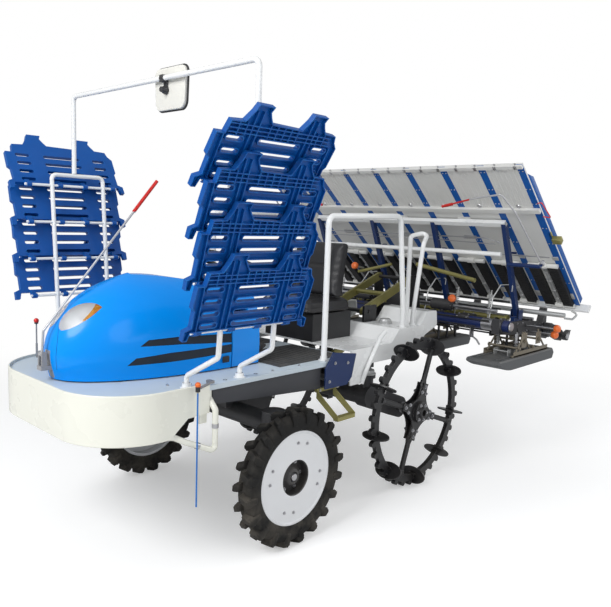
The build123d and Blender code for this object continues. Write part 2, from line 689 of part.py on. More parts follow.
def link_arm(front, rear, y, half_thickness):
    """One flat arm with an eye at each end, added to the part being built."""
    middle = ((front[0] + rear[0]) / 2, (front[1] + rear[1]) / 2)
    turn = degrees(atan2(rear[1] - front[1], rear[0] - front[0]))
    with BuildSketch(Plane.XZ.offset(-y)) as arm_outline:
        with Locations(middle):
            SlotCenterToCenter(lift_link, 52, rotation=turn)
        with Locations(front, rear):
            Circle(pin_radius + running_gap, mode=Mode.SUBTRACT)
    extrude(arm_outline.sketch, amount=half_thickness, both=True)


with BuildPart() as lift_lower_links:
    for side in (1, -1):
        link_arm(lower_pin, lower_rear, side * link_y, 9)
    shaft((cylinder_eye[0], 0, cylinder_eye[1]), cross_tube_radius, 2 * link_y - 10)
save(lift_lower_links, "lift_lower_links")

with BuildPart() as lift_upper_links:
    for side in (1, -1):
        link_arm(upper_pin, upper_rear, side * link_y, 9)
    shaft(((upper_pin[0] + upper_rear[0]) / 2, 0, (upper_pin[1] + upper_rear[1]) / 2), 15, 2 * link_y - 10)
save(lift_upper_links, "lift_upper_links")

barrel_length = 330
barrel_radius = 28
rod_radius = 13
eye_clearance = 12         # play of the rod's eye round the cross tube
cylinder_line = Vector(cylinder_eye[0] - cylinder_foot[0], 0, cylinder_eye[1] - cylinder_foot[1])
cylinder_direction = cylinder_line.normalized()
foot_point = Vector(cylinder_foot[0], 0, cylinder_foot[1])
eye_point = Vector(cylinder_eye[0], 0, cylinder_eye[1])
with BuildPart() as lift_barrel:
    rod(foot_point + cylinder_direction * 8, foot_point + cylinder_direction * barrel_length, barrel_radius)
    shaft(foot_point, 24, 64)
    shaft(foot_point, pin_radius + running_gap, 70, mode=Mode.SUBTRACT)
    with Locations(Plane(foot_point + cylinder_direction * (barrel_length - 230), z_dir=cylinder_direction)):
        Cylinder(rod_radius + running_gap, 262, align=(Align.CENTER, Align.CENTER, Align.MIN), mode=Mode.SUBTRACT)
save(lift_barrel, "lift_barrel")

with BuildPart() as lift_rod:
    rod(foot_point + cylinder_direction * (barrel_length - 60), eye_point - cylinder_direction * 34, rod_radius)
    shaft(eye_point, cross_tube_radius + eye_clearance + 12, 44)
    shaft(eye_point, cross_tube_radius + eye_clearance, 50, mode=Mode.SUBTRACT)
save(lift_rod, "lift_rod")

# ---- planting frame -----------------------------------------------------------------------------
slope_down = Vector(table_bottom[0] - table_top[0], 0, table_bottom[1] - table_top[1]).normalized()
table_plane = Plane((table_top[0], 0, table_top[1]), x_dir=(0, 1, 0),
                    z_dir=(-slope_down.Z, 0, slope_down.X))      # its y runs up the slope, z to the underside


def on_table(across, up, under):
    """A point given across the machine, up the table's slope and out of its underside."""
    return table_plane.from_local_coords((across, up, under))


post_foot = (-1091, 880)
rail_size = (34, 26)       # the upper rail's section, along the slope and out of it
shoe_height = 8            # the table's shoes on the rails
upper_rail = on_table(0, rail_up, shoe_height + rail_size[1] / 2)
frame_beam_radius = 36
float_low = 655
float_height = 70
case_half = 24
with BuildPart() as planting_frame:
    shaft((beam_x, 0, beam_z), frame_beam_radius, 1640)
    for side in (1, -1):            # mast plates that carry the rear ends of the links
        with BuildSketch(Plane.XZ.offset(-side * (link_y + 22))) as mast_outline:
            with BuildLine():
                Polyline((lower_rear[0] + 26, lower_rear[1] - 26), (lower_rear[0] - 70, lower_rear[1] - 10),
                         (upper_rear[0] - 70, upper_rear[1] + 26), (upper_rear[0] + 26, upper_rear[1] + 26),
                         close=True)
            make_face()
        extrude(mast_outline.sketch, amount=5, both=True)
    shaft((lower_rear[0], 0, lower_rear[1]), pin_radius, 2 * link_y + 50)
    shaft((upper_rear[0], 0, upper_rear[1]), pin_radius, 2 * link_y + 50)
save(planting_frame, "planting_frame")

marker_under = 130         # from the table's underside to the line markers
marker_pivot = (960, -690)
pivot_radius = 6
post_line = Vector(upper_rail.X - post_foot[0], 0, upper_rail.Z - post_foot[1] - 60)
post_turn = degrees(atan2(post_line.Z, post_line.X))
lower_rail_up = -table_length - 24
bracket_top = [(point.X, point.Z) for point in (on_table(0, lower_rail_up - 8, 26), on_table(0, lower_rail_up - 8, 2))]
with BuildPart() as planting_cases:
    for y in case_y:
        with BuildSketch(Plane.XZ.offset(-y)) as case_outline:
            with BuildLine():
                Polyline((beam_x + 50, beam_z - 50), (beam_x + 50, beam_z + 46), (post_foot[0] + 60, post_foot[1] + 30),
                         (post_foot[0] - 60, post_foot[1] + 30), (rotor_x + 118, rotor_z + 62), bracket_top[0],
                         bracket_top[1], (rotor_x + 58, rotor_z + 52), (rotor_x, rotor_z + 42),
                         (rotor_x - 40, rotor_z), (rotor_x, rotor_z - 42), (post_foot[0], post_foot[1] - 60),
                         close=True)
            make_face()
            with Locations((rotor_x, rotor_z)):
                Circle(44)
        extrude(case_outline.sketch, amount=case_half, both=True)
        shaft((rotor_x, y, rotor_z), 16 + running_gap, 60, mode=Mode.SUBTRACT)
        shaft((beam_x, y, beam_z), frame_beam_radius, 60, mode=Mode.SUBTRACT)
        for x in (-980, -1091, -1200):      # struts down to the floats
            rod((x, y, float_low + float_height), (x, y, post_foot[1] - 40), 8)
save(planting_cases, "planting_cases")

with BuildPart() as table_posts:
    for y in case_y:
        with BuildSketch(Plane.XZ.offset(-y)) as post_outline:
            with Locations(((post_foot[0] + upper_rail.X) / 2, (post_foot[1] + 60 + upper_rail.Z) / 2)):
                Rectangle(post_line.length, 34, rotation=post_turn)
            with Locations((post_foot[0], post_foot[1] + 45)):
                Rectangle(110, 30)
        extrude(post_outline.sketch, amount=14, both=True)
        with Locations(table_plane):
            with Locations((y, rail_up, shoe_height)):
                Box(60, rail_size[0], rail_size[1], align=(Align.CENTER, Align.CENTER, Align.MIN), mode=Mode.SUBTRACT)
    for side in (1, -1):            # arms that carry the line markers' pivots
        arm_line = on_table(side * marker_pivot[0], marker_pivot[1], marker_under + 24)
        shaft((arm_line.X, side * (case_y[-1] + marker_pivot[0]) / 2, arm_line.Z), 12, marker_pivot[0] - case_y[-1])
        rod(on_table(side * marker_pivot[0], marker_pivot[1], marker_under + 34),
            on_table(side * marker_pivot[0], marker_pivot[1], marker_under - 20), pivot_radius)
save(table_posts, "table_posts")

rail_half_length = table_half_width - 240
rail_wall = 3
brace_radius = 14
brace_share = 0.70         # up the posts, where the round brace tube crosses them
brace_point = Vector(post_foot[0], 0, post_foot[1] + 60) + post_line * brace_share
post_front = Vector(post_line.Z, 0, -post_line.X).normalized()
brace_middle = brace_point + post_front * (17 + brace_radius)
with BuildPart() as table_rails:
    with Locations(table_plane):
        with Locations((0, rail_up, shoe_height + rail_size[1] / 2)):
            Box(2 * rail_half_length, *rail_size)
            Box(2 * rail_half_length + 1, rail_size[0] - 2 * rail_wall, rail_size[1] - 2 * rail_wall, mode=Mode.SUBTRACT)
        with Locations((0, lower_rail_up, 4)):
            Box(2 * table_half_width + 120, 16, 52)
    shaft(brace_middle, brace_radius, 2 * rail_half_length - 80)
save(table_rails, "table_rails")

# the floats: middle across the machine, half width and front end
float_table = ((-788, 111, -600), (0, 285, -700), (788, 111, -600))
with BuildPart() as floats:
    for y, half, front in float_table:
        with BuildSketch(Plane.XZ.offset(-y)) as float_outline:
            with BuildLine():
                Line((-1350, float_low), (front - 200, float_low))
                nose = TangentArc((front - 200, float_low), (front, float_low + 50), tangent=(1, 0))
                Polyline(nose @ 1, (front - 12, float_low + float_height), (-1350, float_low + float_height),
                         (-1372, float_low + 40), (-1350, float_low))
            make_face()
        extrude(float_outline.sketch, amount=half, both=True)
        for edge_y in (y - half, y + half):
            chamfer(floats.edges().filter_by_position(Axis.Y, edge_y - 1, edge_y + 1), 8)
save(floats, "floats")

# ---- planting rotors ----------------------------------------------------------------------------
arm_centre = 96            # from the rotor shaft to each planting arm's shaft
rotor_turn = 20
arm_radius = 30
arm_tip = (-122, -8)        # of the rear arm, from the shaft
arm_tip_radius = 13
finger = ((-100, 10), (-rotor_reach, 3), (-rotor_reach, -3), (-112, -24))     # of the rear arm, from the shaft
for number, y in enumerate(case_y, 1):
    with BuildPart() as rotor:
        shaft((rotor_x, y, rotor_z), 16, 150)
        for side in (1, -1):
            case_middle = y + side * 54
            with BuildSketch(Plane.XZ.offset(-case_middle)) as rotor_outline:
                with Locations((rotor_x, rotor_z)):
                    SlotOverall(2 * arm_centre + 76, 76, rotation=rotor_turn)
            extrude(rotor_outline.sketch, amount=20, both=True)
            for end in (1, -1):
                x = rotor_x + end * arm_centre * cos(radians(rotor_turn))
                z = rotor_z + end * arm_centre * sin(radians(rotor_turn))
                shaft((x, y + side * 95, z), 12, 50)
                with BuildSketch(Plane.XZ.offset(-y - side * 105)) as arm_outline:
                    with Locations((x, z)):
                        Circle(arm_radius)
                    with Locations((rotor_x - end * arm_tip[0], rotor_z - end * arm_tip[1])):
                        Circle(arm_tip_radius)
                    make_hull()
                extrude(arm_outline.sketch, amount=14, both=True)
                for tine in (-6, 6):        # the fork that takes and plants the seedlings
                    with BuildSketch(Plane.XZ.offset(-y - side * 105 + tine)) as tine_outline:
                        with BuildLine():
                            Polyline(*[(rotor_x - end * a, rotor_z - end * b) for a, b in finger], close=True)
                        make_face()
                    extrude(tine_outline.sketch, amount=2, both=True)
    save(rotor, f"planting_rotor_{number}")

# ---- seedling table -----------------------------------------------------------------------------
divider_size = (10, 44)    # width and height of the walls between the lanes
strip_size = (45, 4)       # the blue strips let into the underside
sheet_rib = (8, 2)         # the pressed ribs of each lane's upper part
sheet_rib_pitch = 28
sheet_rib_count = 7
flange = (22, 12)          # the folded top edge: along the slope and thick
mid_rail_up = -359
mid_rail = (30, 18)
lane_edges = [-table_half_width + row * row_pitch for row in range(rows + 1)]
strip_limit = table_half_width - strip_size[0] / 2
strip_lines = [max(-strip_limit, min(strip_limit, edge)) for edge in lane_edges]
with BuildPart() as seedling_table:
    with Locations(table_plane):
        with Locations((0, -table_length / 2, -table_thickness / 2)):
            Box(2 * table_half_width, table_length, table_thickness)
        with Locations((0, -flange[0] / 2, flange[1] / 2)):
            Box(2 * table_half_width, *flange)
        with Locations((0, mid_rail_up, mid_rail[1] / 2)):
            Box(2 * table_half_width, *mid_rail)
        rib_start = -flange[0] - 4
        rib_end = mid_rail_up + mid_rail[0] / 2 + 4
        with Locations((0, (rib_start + rib_end) / 2, sheet_rib[1] / 2)):
            for edge in lane_edges[:-1]:
                with Locations((edge + row_pitch / 2, 0, 0)):
                    with GridLocations(sheet_rib_pitch, 1, sheet_rib_count, 1):
                        Box(sheet_rib[0], rib_start - rib_end, sheet_rib[1])
        for across in strip_lines:
            with Locations((across, -table_length / 2, -strip_size[1] / 2)):
                Box(strip_size[0] + 2 * running_gap, table_length + 1, strip_size[1], mode=Mode.SUBTRACT)
        for across in (-480, 0, 480):   # shoes that slide on the rails
            with Locations((across, rail_up, (shoe_height - running_gap) / 2)):
                Box(90, 60, shoe_height - running_gap)
            with Locations((across, -table_length - (24 - 8 - running_gap) / 2, -table_thickness / 2)):
                Box(90, 24 - 8 - running_gap, 10)
save(seedling_table, "seedling_table")

with BuildPart() as table_dividers:
    wall_limit = table_half_width - divider_size[0] / 2
    with Locations(table_plane):
        for edge in lane_edges:
            across = max(-wall_limit, min(wall_limit, edge))
            with Locations((across, -table_length / 2, -table_thickness - divider_size[1] / 2)):
                Box(divider_size[0], table_length, divider_size[1])
        for across in strip_lines:
            with Locations((across, -table_length / 2, -strip_size[1] / 2)):
                Box(strip_size[0], table_length, strip_size[1])
save(table_dividers, "table_dividers")

belt_ends = (-870, -1275)  # along the slope
with BuildPart() as table_belts:
    with Locations(table_plane):
        for row in range(rows):
            for shift in (-62, 62):
                across = -table_half_width + (row + 0.5) * row_pitch + shift
                with Locations((across, sum(belt_ends) / 2, 14)):
                    Box(64, belt_ends[0] - belt_ends[1], 28)
save(table_belts, "table_belts")

# ---- line markers -------------------------------------------------------------------------------
# the marker's bent rod on the left side: across, up the slope
marker_route = ((952, -678), (935, -245), (900, -91), (724, -123), (484, -194))
for name, side in SIDES:
    with BuildPart() as line_marker:
        bar([on_table(side * across, up, marker_under) for across, up in marker_route], 20, 5)
        grip_start = on_table(side * 560, -173, marker_under)
        grip_end = on_table(side * 484, -194, marker_under)
        rod(grip_start, grip_end, 9)
        eye_bottom = on_table(side * marker_pivot[0], marker_pivot[1], marker_under - 10)
        eye_top = on_table(side * marker_pivot[0], marker_pivot[1], marker_under + 10)
        rod(eye_bottom, eye_top, 15)
        with Locations(Plane((eye_bottom + eye_top) / 2, z_dir=table_plane.z_dir)):
            Cylinder(pivot_radius + running_gap, 40, mode=Mode.SUBTRACT)
    save(line_marker, f"line_marker_{name}")
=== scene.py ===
import math

import bmesh
import bpy
from mathutils import Matrix, Vector


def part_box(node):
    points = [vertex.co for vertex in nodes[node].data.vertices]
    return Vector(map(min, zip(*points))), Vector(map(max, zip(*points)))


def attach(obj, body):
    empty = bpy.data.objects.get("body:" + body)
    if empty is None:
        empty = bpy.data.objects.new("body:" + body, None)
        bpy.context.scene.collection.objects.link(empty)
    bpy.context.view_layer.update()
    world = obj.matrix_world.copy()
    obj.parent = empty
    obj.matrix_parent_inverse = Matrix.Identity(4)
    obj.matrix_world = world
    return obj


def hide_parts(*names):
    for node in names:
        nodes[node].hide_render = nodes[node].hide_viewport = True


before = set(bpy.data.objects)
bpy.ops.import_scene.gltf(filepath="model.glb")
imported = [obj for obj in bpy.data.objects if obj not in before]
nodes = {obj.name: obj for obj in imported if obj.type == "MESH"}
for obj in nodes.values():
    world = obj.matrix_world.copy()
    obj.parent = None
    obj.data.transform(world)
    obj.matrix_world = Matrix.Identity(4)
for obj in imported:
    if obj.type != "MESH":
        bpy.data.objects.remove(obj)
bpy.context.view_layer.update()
scene = bpy.context.scene


# ---- shader tools ------------------------------------------------------------
def feed(tree, value, socket):
    """Gives a socket a plain value or another node's output."""
    if isinstance(value, bpy.types.NodeSocket):
        tree.links.new(value, socket)
    else:
        socket.default_value = value


def node(tree, kind, inputs=None, **settings):
    """A new shader node with its settings, and then with some of its inputs fed."""
    made = tree.nodes.new("ShaderNode" + kind)
    for label, value in settings.items():
        setattr(made, label, value)
    for label, value in (inputs or {}).items():
        feed(tree, value, made.inputs[label])
    return made


def calc(tree, operation, first, second=0.0):
    return node(tree, "Math", {0: first, 1: second}, operation=operation).outputs[0]


def product(tree, first, *factors):
    for factor in factors:
        first = calc(tree, "MULTIPLY", first, factor)
    return first


def noise(tree, **inputs):
    """Clouds in the object's own coordinates."""
    return node(tree, "TexNoise", {"Vector": object_place(tree), **inputs}).outputs["Fac"]


def object_place(tree):
    return node(tree, "TexCoord").outputs["Object"]


def axes(tree, vector):
    return node(tree, "SeparateXYZ", {0: vector}).outputs


def camera_ray(tree):
    return node(tree, "LightPath").outputs["Is Camera Ray"]


def mixed(tree, share, first, second):
    """A colour between two."""
    return node(tree, "Mix", {"Factor": share, "A": first, "B": second}, data_type="RGBA").outputs["Result"]


def new_material(name, **inputs):
    """A material with its tree and main surface node."""
    material = bpy.data.materials.new(name)
    material.use_nodes = True
    surface = material.node_tree.nodes["Principled BSDF"]
    for label, value in inputs.items():
        surface.inputs[label].default_value = value
    return material, material.node_tree, surface


# ---- camera, floor and light -------------------------------------------------
SENSOR_WIDTH = 36
CAMERA_PLACE = Vector((2.908, 2.635, 1.508))
CAMERA_YAW = math.radians(43.15)       # of the machine's length against the line of sight
CAMERA_PITCH = math.radians(7.24)      # downwards
CAMERA_ROLL = math.radians(2.02)
FOCAL_LENGTH = 659.6 / 611 * SENSOR_WIDTH
WHITE = (1, 1, 1, 1)
SKY = ((0.96, 0.98, 1, 1), 0.52)       # colour and strength
FLOOR_GREY = 0.8
FLOOR_GLOW = 0.34
FLOOR_FADE = (2.2, 4.6)                # where the floor starts to turn into the backdrop, and ends
LAMPS = (("key", (5.4, 0.6, 4.2), (0.2, 0, 0.8), 2.6, 215),         # place, target, size and power
         ("fill", (2.0, 5.2, 3.0), (0.2, 0, 0.8), 3.4, 58),
         ("back", (-4.5, 3.5, 3.4), (-0.6, 0, 0.9), 3.0, 72))


def place_camera():
    level = Vector((-math.cos(CAMERA_YAW), -math.sin(CAMERA_YAW), 0))
    sight = level * math.cos(CAMERA_PITCH) - Vector((0, 0, math.sin(CAMERA_PITCH)))
    right = Vector((-math.sin(CAMERA_YAW), math.cos(CAMERA_YAW), 0))
    up = right.cross(sight)
    rolled_right = right * math.cos(CAMERA_ROLL) + up * math.sin(CAMERA_ROLL)
    rolled_up = up * math.cos(CAMERA_ROLL) - right * math.sin(CAMERA_ROLL)
    turn = Matrix((rolled_right, rolled_up, -sight)).transposed().to_4x4()
    lens = bpy.data.cameras.new("camera")
    lens.lens = FOCAL_LENGTH
    lens.sensor_width = SENSOR_WIDTH
    lens.clip_end = 200
    camera = bpy.data.objects.new("camera", lens)
    camera.matrix_world = Matrix.Translation(CAMERA_PLACE) @ turn
    scene.collection.objects.link(camera)
    scene.camera = camera


def area_lamp(name, place, target, size, power):
    data = bpy.data.lights.new(name, "AREA")
    data.shape = "DISK"
    data.size = size
    data.energy = power
    lamp = bpy.data.objects.new(name, data)
    lamp.location = place
    lamp.rotation_euler = (Vector(target) - Vector(place)).to_track_quat("-Z", "Y").to_euler()
    scene.collection.objects.link(lamp)


def light_world():
    """A pale sky for the light, and plain white where the camera sees past the floor."""
    world = bpy.data.worlds.new("studio")
    world.use_nodes = True
    tree = world.node_tree
    tree.nodes.clear()
    sky = node(tree, "Background", {"Color": SKY[0], "Strength": SKY[1]})
    seen = node(tree, "Background", {"Color": WHITE, "Strength": 1})
    mix = node(tree, "MixShader", {"Fac": camera_ray(tree), 1: sky.outputs[0], 2: seen.outputs[0]})
    node(tree, "OutputWorld", {"Surface": mix.outputs[0]})
    scene.world = world


def lay_floor():
    """A pale floor, which turns into the backdrop far from the machine."""
    material, tree, surface = new_material("studio_floor", **{
        "Base Color": (FLOOR_GREY, FLOOR_GREY, FLOOR_GREY, 1), "Roughness": 0.9, "Specular IOR Level": 0.1})
    ray = camera_ray(tree)
    glow = node(tree, "Emission", {"Strength": calc(tree, "MULTIPLY", ray, FLOOR_GLOW)})
    near = node(tree, "AddShader", {0: surface.outputs[0], 1: glow.outputs[0]})
    reach = node(tree, "VectorMath", {0: object_place(tree)}, operation="LENGTH")
    start, end = FLOOR_FADE
    far = node(tree, "MapRange", {"Value": reach.outputs["Value"], "From Min": start, "From Max": end},
               interpolation_type="SMOOTHSTEP")
    share = calc(tree, "MULTIPLY", far.outputs["Result"], ray)
    fade = node(tree, "MixShader", {"Fac": share, 1: near.outputs[0], 2: node(tree, "Emission").outputs[0]})
    tree.links.new(fade.outputs[0], tree.nodes["Material Output"].inputs["Surface"])
    bm = bmesh.new()
    bmesh.ops.create_grid(bm, x_segments=1, y_segments=1, size=60)
    mesh = bpy.data.meshes.new("floor")
    bm.to_mesh(mesh)
    bm.free()
    mesh.materials.append(material)
    floor = bpy.data.objects.new("floor", mesh)
    scene.collection.objects.link(floor)


place_camera()
light_world()
lay_floor()
for lamp in LAMPS:
    area_lamp(*lamp)
scene.view_settings.view_transform = "Standard"


# ---- shared effects ----------------------------------------------------------
def effect_group(name, inputs, outputs):
    """An empty shader node group with named sockets: {name: default} for the inputs."""
    group = bpy.data.node_groups.new(name, "ShaderNodeTree")
    for label, value in inputs.items():
        kind = "NodeSocketVector" if isinstance(value, tuple) else "NodeSocketFloat"
        group.interface.new_socket(label, in_out="INPUT", socket_type=kind).default_value = value
    for label in outputs:
        group.interface.new_socket(label, in_out="OUTPUT", socket_type="NodeSocketFloat")
    return group, group.nodes.new("NodeGroupInput").outputs, group.nodes.new("NodeGroupOutput").inputs


def use_group(tree, group, **inputs):
    made = node(tree, "Group", node_tree=group)
    for label, value in inputs.items():
        feed(tree, value, made.inputs[label])
    return made.outputs


def above(tree, value, floor, gain):
    """How far a value lies above a floor, times a gain."""
    return calc(tree, "MAXIMUM", calc(tree, "MULTIPLY", calc(tree, "SUBTRACT", value, floor), gain), 0.0)


def make_fine_grain():
    """Small bumps, as of moulded plastic or cast metal, and a slow change over the surface."""
    group, given, result = effect_group("fine_grain", {"Scale": 400.0}, ("Height", "Patches"))
    feed(group, noise(group, Scale=given["Scale"], Detail=3), result["Height"])
    feed(group, noise(group, Scale=5, Detail=4), result["Patches"])
    return group


def make_field_dust():
    """A mask of dust: thicker near the ground and on faces that look up."""
    group, given, result = effect_group("field_dust", {"Amount": 0.3, "Reach": 0.6}, ("Mask",))
    height = axes(group, object_place(group))["Z"]
    facing = axes(group, node(group, "NewGeometry").outputs["Normal"])["Z"]
    low = calc(group, "MAXIMUM", calc(group, "SUBTRACT", given["Reach"], height), 0.0)
    upward = calc(group, "MULTIPLY", calc(group, "MAXIMUM", facing, 0.0), 0.35)
    spots = above(group, noise(group, Scale=9, Detail=7, Roughness=0.65), 0.35, 2.4)
    mask = product(group, calc(group, "ADD", low, upward), spots, given["Amount"])
    feed(group, calc(group, "MINIMUM", mask, 0.8), result["Mask"])
    return group


def make_in_box():
    """A mask that is 1 inside a box of the object's own coordinates."""
    group, given, result = effect_group("in_box", {"Low": (-9, -9, -9), "High": (9, 9, 9)}, ("Mask",))
    here, low, high = (axes(group, source) for source in (object_place(group), given["Low"], given["High"]))
    mask = 1.0
    for axis in "XYZ":
        mask = product(group, mask, calc(group, "GREATER_THAN", here[axis], low[axis]),
                       calc(group, "LESS_THAN", here[axis], high[axis]))
    feed(group, mask, result["Mask"])
    return group


def make_edge_wear_and_highlight():
    """A mask of rubbed edges, which the trays use for a painted highlight on their rims: where a rounded
    normal leaves the true one, broken up by noise.
    """
    group, given, result = effect_group("edge_wear_and_highlight", {"Radius": 0.003, "Amount": 0.6}, ("Mask",))
    rounded = node(group, "Bevel", {"Radius": given["Radius"]}, samples=4)
    true_normal = node(group, "NewGeometry").outputs["Normal"]
    match = node(group, "VectorMath", {0: rounded.outputs["Normal"], 1: true_normal}, operation="DOT_PRODUCT")
    bare = calc(group, "MULTIPLY", calc(group, "SUBTRACT", 1.0, match.outputs["Value"]), 5.0)
    chips = above(group, noise(group, Scale=45, Detail=5), 0.48, 6.0)
    mask = product(group, bare, chips, given["Amount"])
    feed(group, calc(group, "MINIMUM", mask, 0.85), result["Mask"])
    return group


edge_wear_and_highlight = make_edge_wear_and_highlight()
fine_grain = make_fine_grain()
field_dust = make_field_dust()
in_box = make_in_box()


# ---- zones of other paint: each makes its mask in a material's tree ----------
def box_zone(low, high):
    """The inside of a box."""
    return lambda tree: use_group(tree, in_box, Low=low, High=high)["Mask"]


def distance(tree, across, rise):
    """The length of two offsets at right angles."""
    return calc(tree, "SQRT", calc(tree, "ADD", product(tree, across, across), product(tree, rise, rise)))


def disc_zone(x, z, radius):
    """A disc about an axle that lies across the machine."""
    def mask(tree):
        here = axes(tree, object_place(tree))
        return calc(tree, "LESS_THAN", distance(tree, calc(tree, "SUBTRACT", here["X"], x),
                                                calc(tree, "SUBTRACT", here["Z"], z)), radius)
    return mask


BAND_BASE, BAND_SPAN = 0.8, 0.25       # the heights that the bands' curves run over


def line_of_heights(tree, length, points):
    """A height that follows straight runs along the machine, from (x, z) points."""
    low_x, high_x = points[0][0], points[-1][0]
    share = node(tree, "MapRange", {"Value": length, "From Min": low_x, "From Max": high_x})
    curve = node(tree, "FloatCurve", {"Value": share.outputs["Result"]})
    knots = curve.mapping.curves[0].points
    spots = [((x - low_x) / (high_x - low_x), (z - BAND_BASE) / BAND_SPAN) for x, z in points]
    knots[0].location = spots[0]
    knots[1].location = spots[-1]
    for spot in spots[1:-1]:
        knots.new(*spot)
    for knot in knots:
        knot.handle_type = "VECTOR"
    curve.mapping.update()
    return calc(tree, "ADD", calc(tree, "MULTIPLY", curve.outputs[0], BAND_SPAN), BAND_BASE)


def band_zone(lower, upper):
    """A tapered band along the bonnet's side, between two lines of heights."""
    def mask(tree):
        here = axes(tree, object_place(tree))
        return product(tree, calc(tree, "GREATER_THAN", here["Z"], line_of_heights(tree, here["X"], lower)),
                       calc(tree, "LESS_THAN", here["Z"], line_of_heights(tree, here["X"], upper)),
                       calc(tree, "LESS_THAN", here["X"], lower[-1][0]))
    return mask


def nose_seam_zone(tree):
    """The thin joint line down each side of the bonnet's nose."""
    bottom, top, rear, half_width, widest = 0.85, 1.045, 1.5, 0.0011, 0.1
    here = axes(tree, object_place(tree))
    share = node(tree, "MapRange", {"Value": here["Z"], "From Min": bottom, "From Max": top})
    curve = node(tree, "FloatCurve", {"Value": share.outputs["Result"]})
    knots = curve.mapping.curves[0].points
    knots[0].location = (0, 0.49)
    knots[1].location = (1, 0.12)
    knots.new(0.3, 0.56)
    knots.new(0.62, 0.52)
    curve.mapping.update()
    line = calc(tree, "MULTIPLY", curve.outputs[0], widest)
    off = calc(tree, "SUBTRACT", calc(tree, "ABSOLUTE", here["Y"]), line)
    return product(tree, calc(tree, "LESS_THAN", calc(tree, "ABSOLUTE", off), half_width),
                   calc(tree, "GREATER_THAN", here["Z"], bottom), calc(tree, "LESS_THAN", here["Z"], top),
                   calc(tree, "GREATER_THAN", here["X"], rear))


def lamp_edge_zone(tree):
    """The wedge along each headlamp's outer edge, outside a circle and above a level."""
    centre_y, centre_z, radius, level = 0.027, 1.084, 0.083, 1.058
    here = axes(tree, object_place(tree))
    across = calc(tree, "SUBTRACT", calc(tree, "ABSOLUTE", here["Y"]), centre_y)
    rise = calc(tree, "SUBTRACT", here["Z"], centre_z)
    far = calc(tree, "GREATER_THAN", distance(tree, across, rise), radius)
    return product(tree, far, calc(tree, "GREATER_THAN", here["Z"], level))


# ---- materials ---------------------------------------------------------------
def bumpy(tree, surface, height, strength, reach):
    bumps = node(tree, "Bump", {"Strength": strength, "Distance": reach, "Height": height})
    feed(tree, bumps.outputs["Normal"], surface.inputs["Normal"])


def finish_material(name, colour, roughness, metallic=0.0, grain=400, bump=0.05, coat=0.0, dust=0.25,
                    darker=0.9, zones=(), wear_and_highlight=0.0, wear_and_highlight_colour=(0.34, 0.33, 0.32), shine=0.5):
    """A painted, moulded or cast surface: patches, zones of other paint, rubbed edges (a painted highlight on
    the trays), bumps and dust.
    """
    material, tree, surface = new_material(name, **{
        "Specular IOR Level": shine, "Metallic": metallic, "Coat Weight": coat, "Coat Roughness": 0.06})
    grains = use_group(tree, fine_grain, Scale=grain)
    painted = mixed(tree, grains["Patches"], (*[part * darker for part in colour], 1), (*colour, 1))
    for zone, zone_colour in zones:
        painted = mixed(tree, zone(tree), painted, (*zone_colour, 1))
    # rubbed edges in another colour; on the trays this is a painted highlight on the rims
    if wear_and_highlight:
        painted = mixed(tree, use_group(tree, edge_wear_and_highlight, Amount=wear_and_highlight)["Mask"], painted, (*wear_and_highlight_colour, 1))
    painted = mixed(tree, use_group(tree, field_dust, Amount=dust)["Mask"], painted, DUST)
    feed(tree, painted, surface.inputs["Base Color"])
    rough = node(tree, "MapRange", {"Value": grains["Patches"], "To Min": max(roughness - 0.06, 0.02),
                                    "To Max": min(roughness + 0.1, 1)})
    feed(tree, rough.outputs["Result"], surface.inputs["Roughness"])
    bumpy(tree, surface, grains["Height"], bump, 0.0006)
    return material


def lens_material(name):
    """Clear moulded plastic with fine flutes and an amber edge."""
    material, tree, surface = new_material(name, Roughness=0.04, IOR=1.25, **{"Transmission Weight": 0.72})
    feed(tree, mixed(tree, lamp_edge_zone(tree), CLEAR, AMBER), surface.inputs["Base Color"])
    flutes = node(tree, "TexWave", {"Vector": object_place(tree), "Scale": 60, "Distortion": 0.4},
                  bands_direction="Y")
    bumpy(tree, surface, flutes.outputs["Fac"], 0.25, 0.0008)
    return material


DUST = (0.42, 0.37, 0.3, 1)
CLEAR = (0.97, 0.98, 1.0, 1)
AMBER = (0.95, 0.36, 0.03, 1)
BONNET_BLUE = (0.001, 0.275, 0.86)
CHARCOAL = (0.022, 0.03, 0.042)
RED = (0.66, 0.025, 0.02)
ORANGE = (0.8, 0.16, 0.03)
BEAM_BLUE = (0.01, 0.022, 0.1)
FAR = 9                                # past every edge of the machine
EVERYWHERE = (-FAR, -FAR, -FAR), (FAR, FAR, FAR)

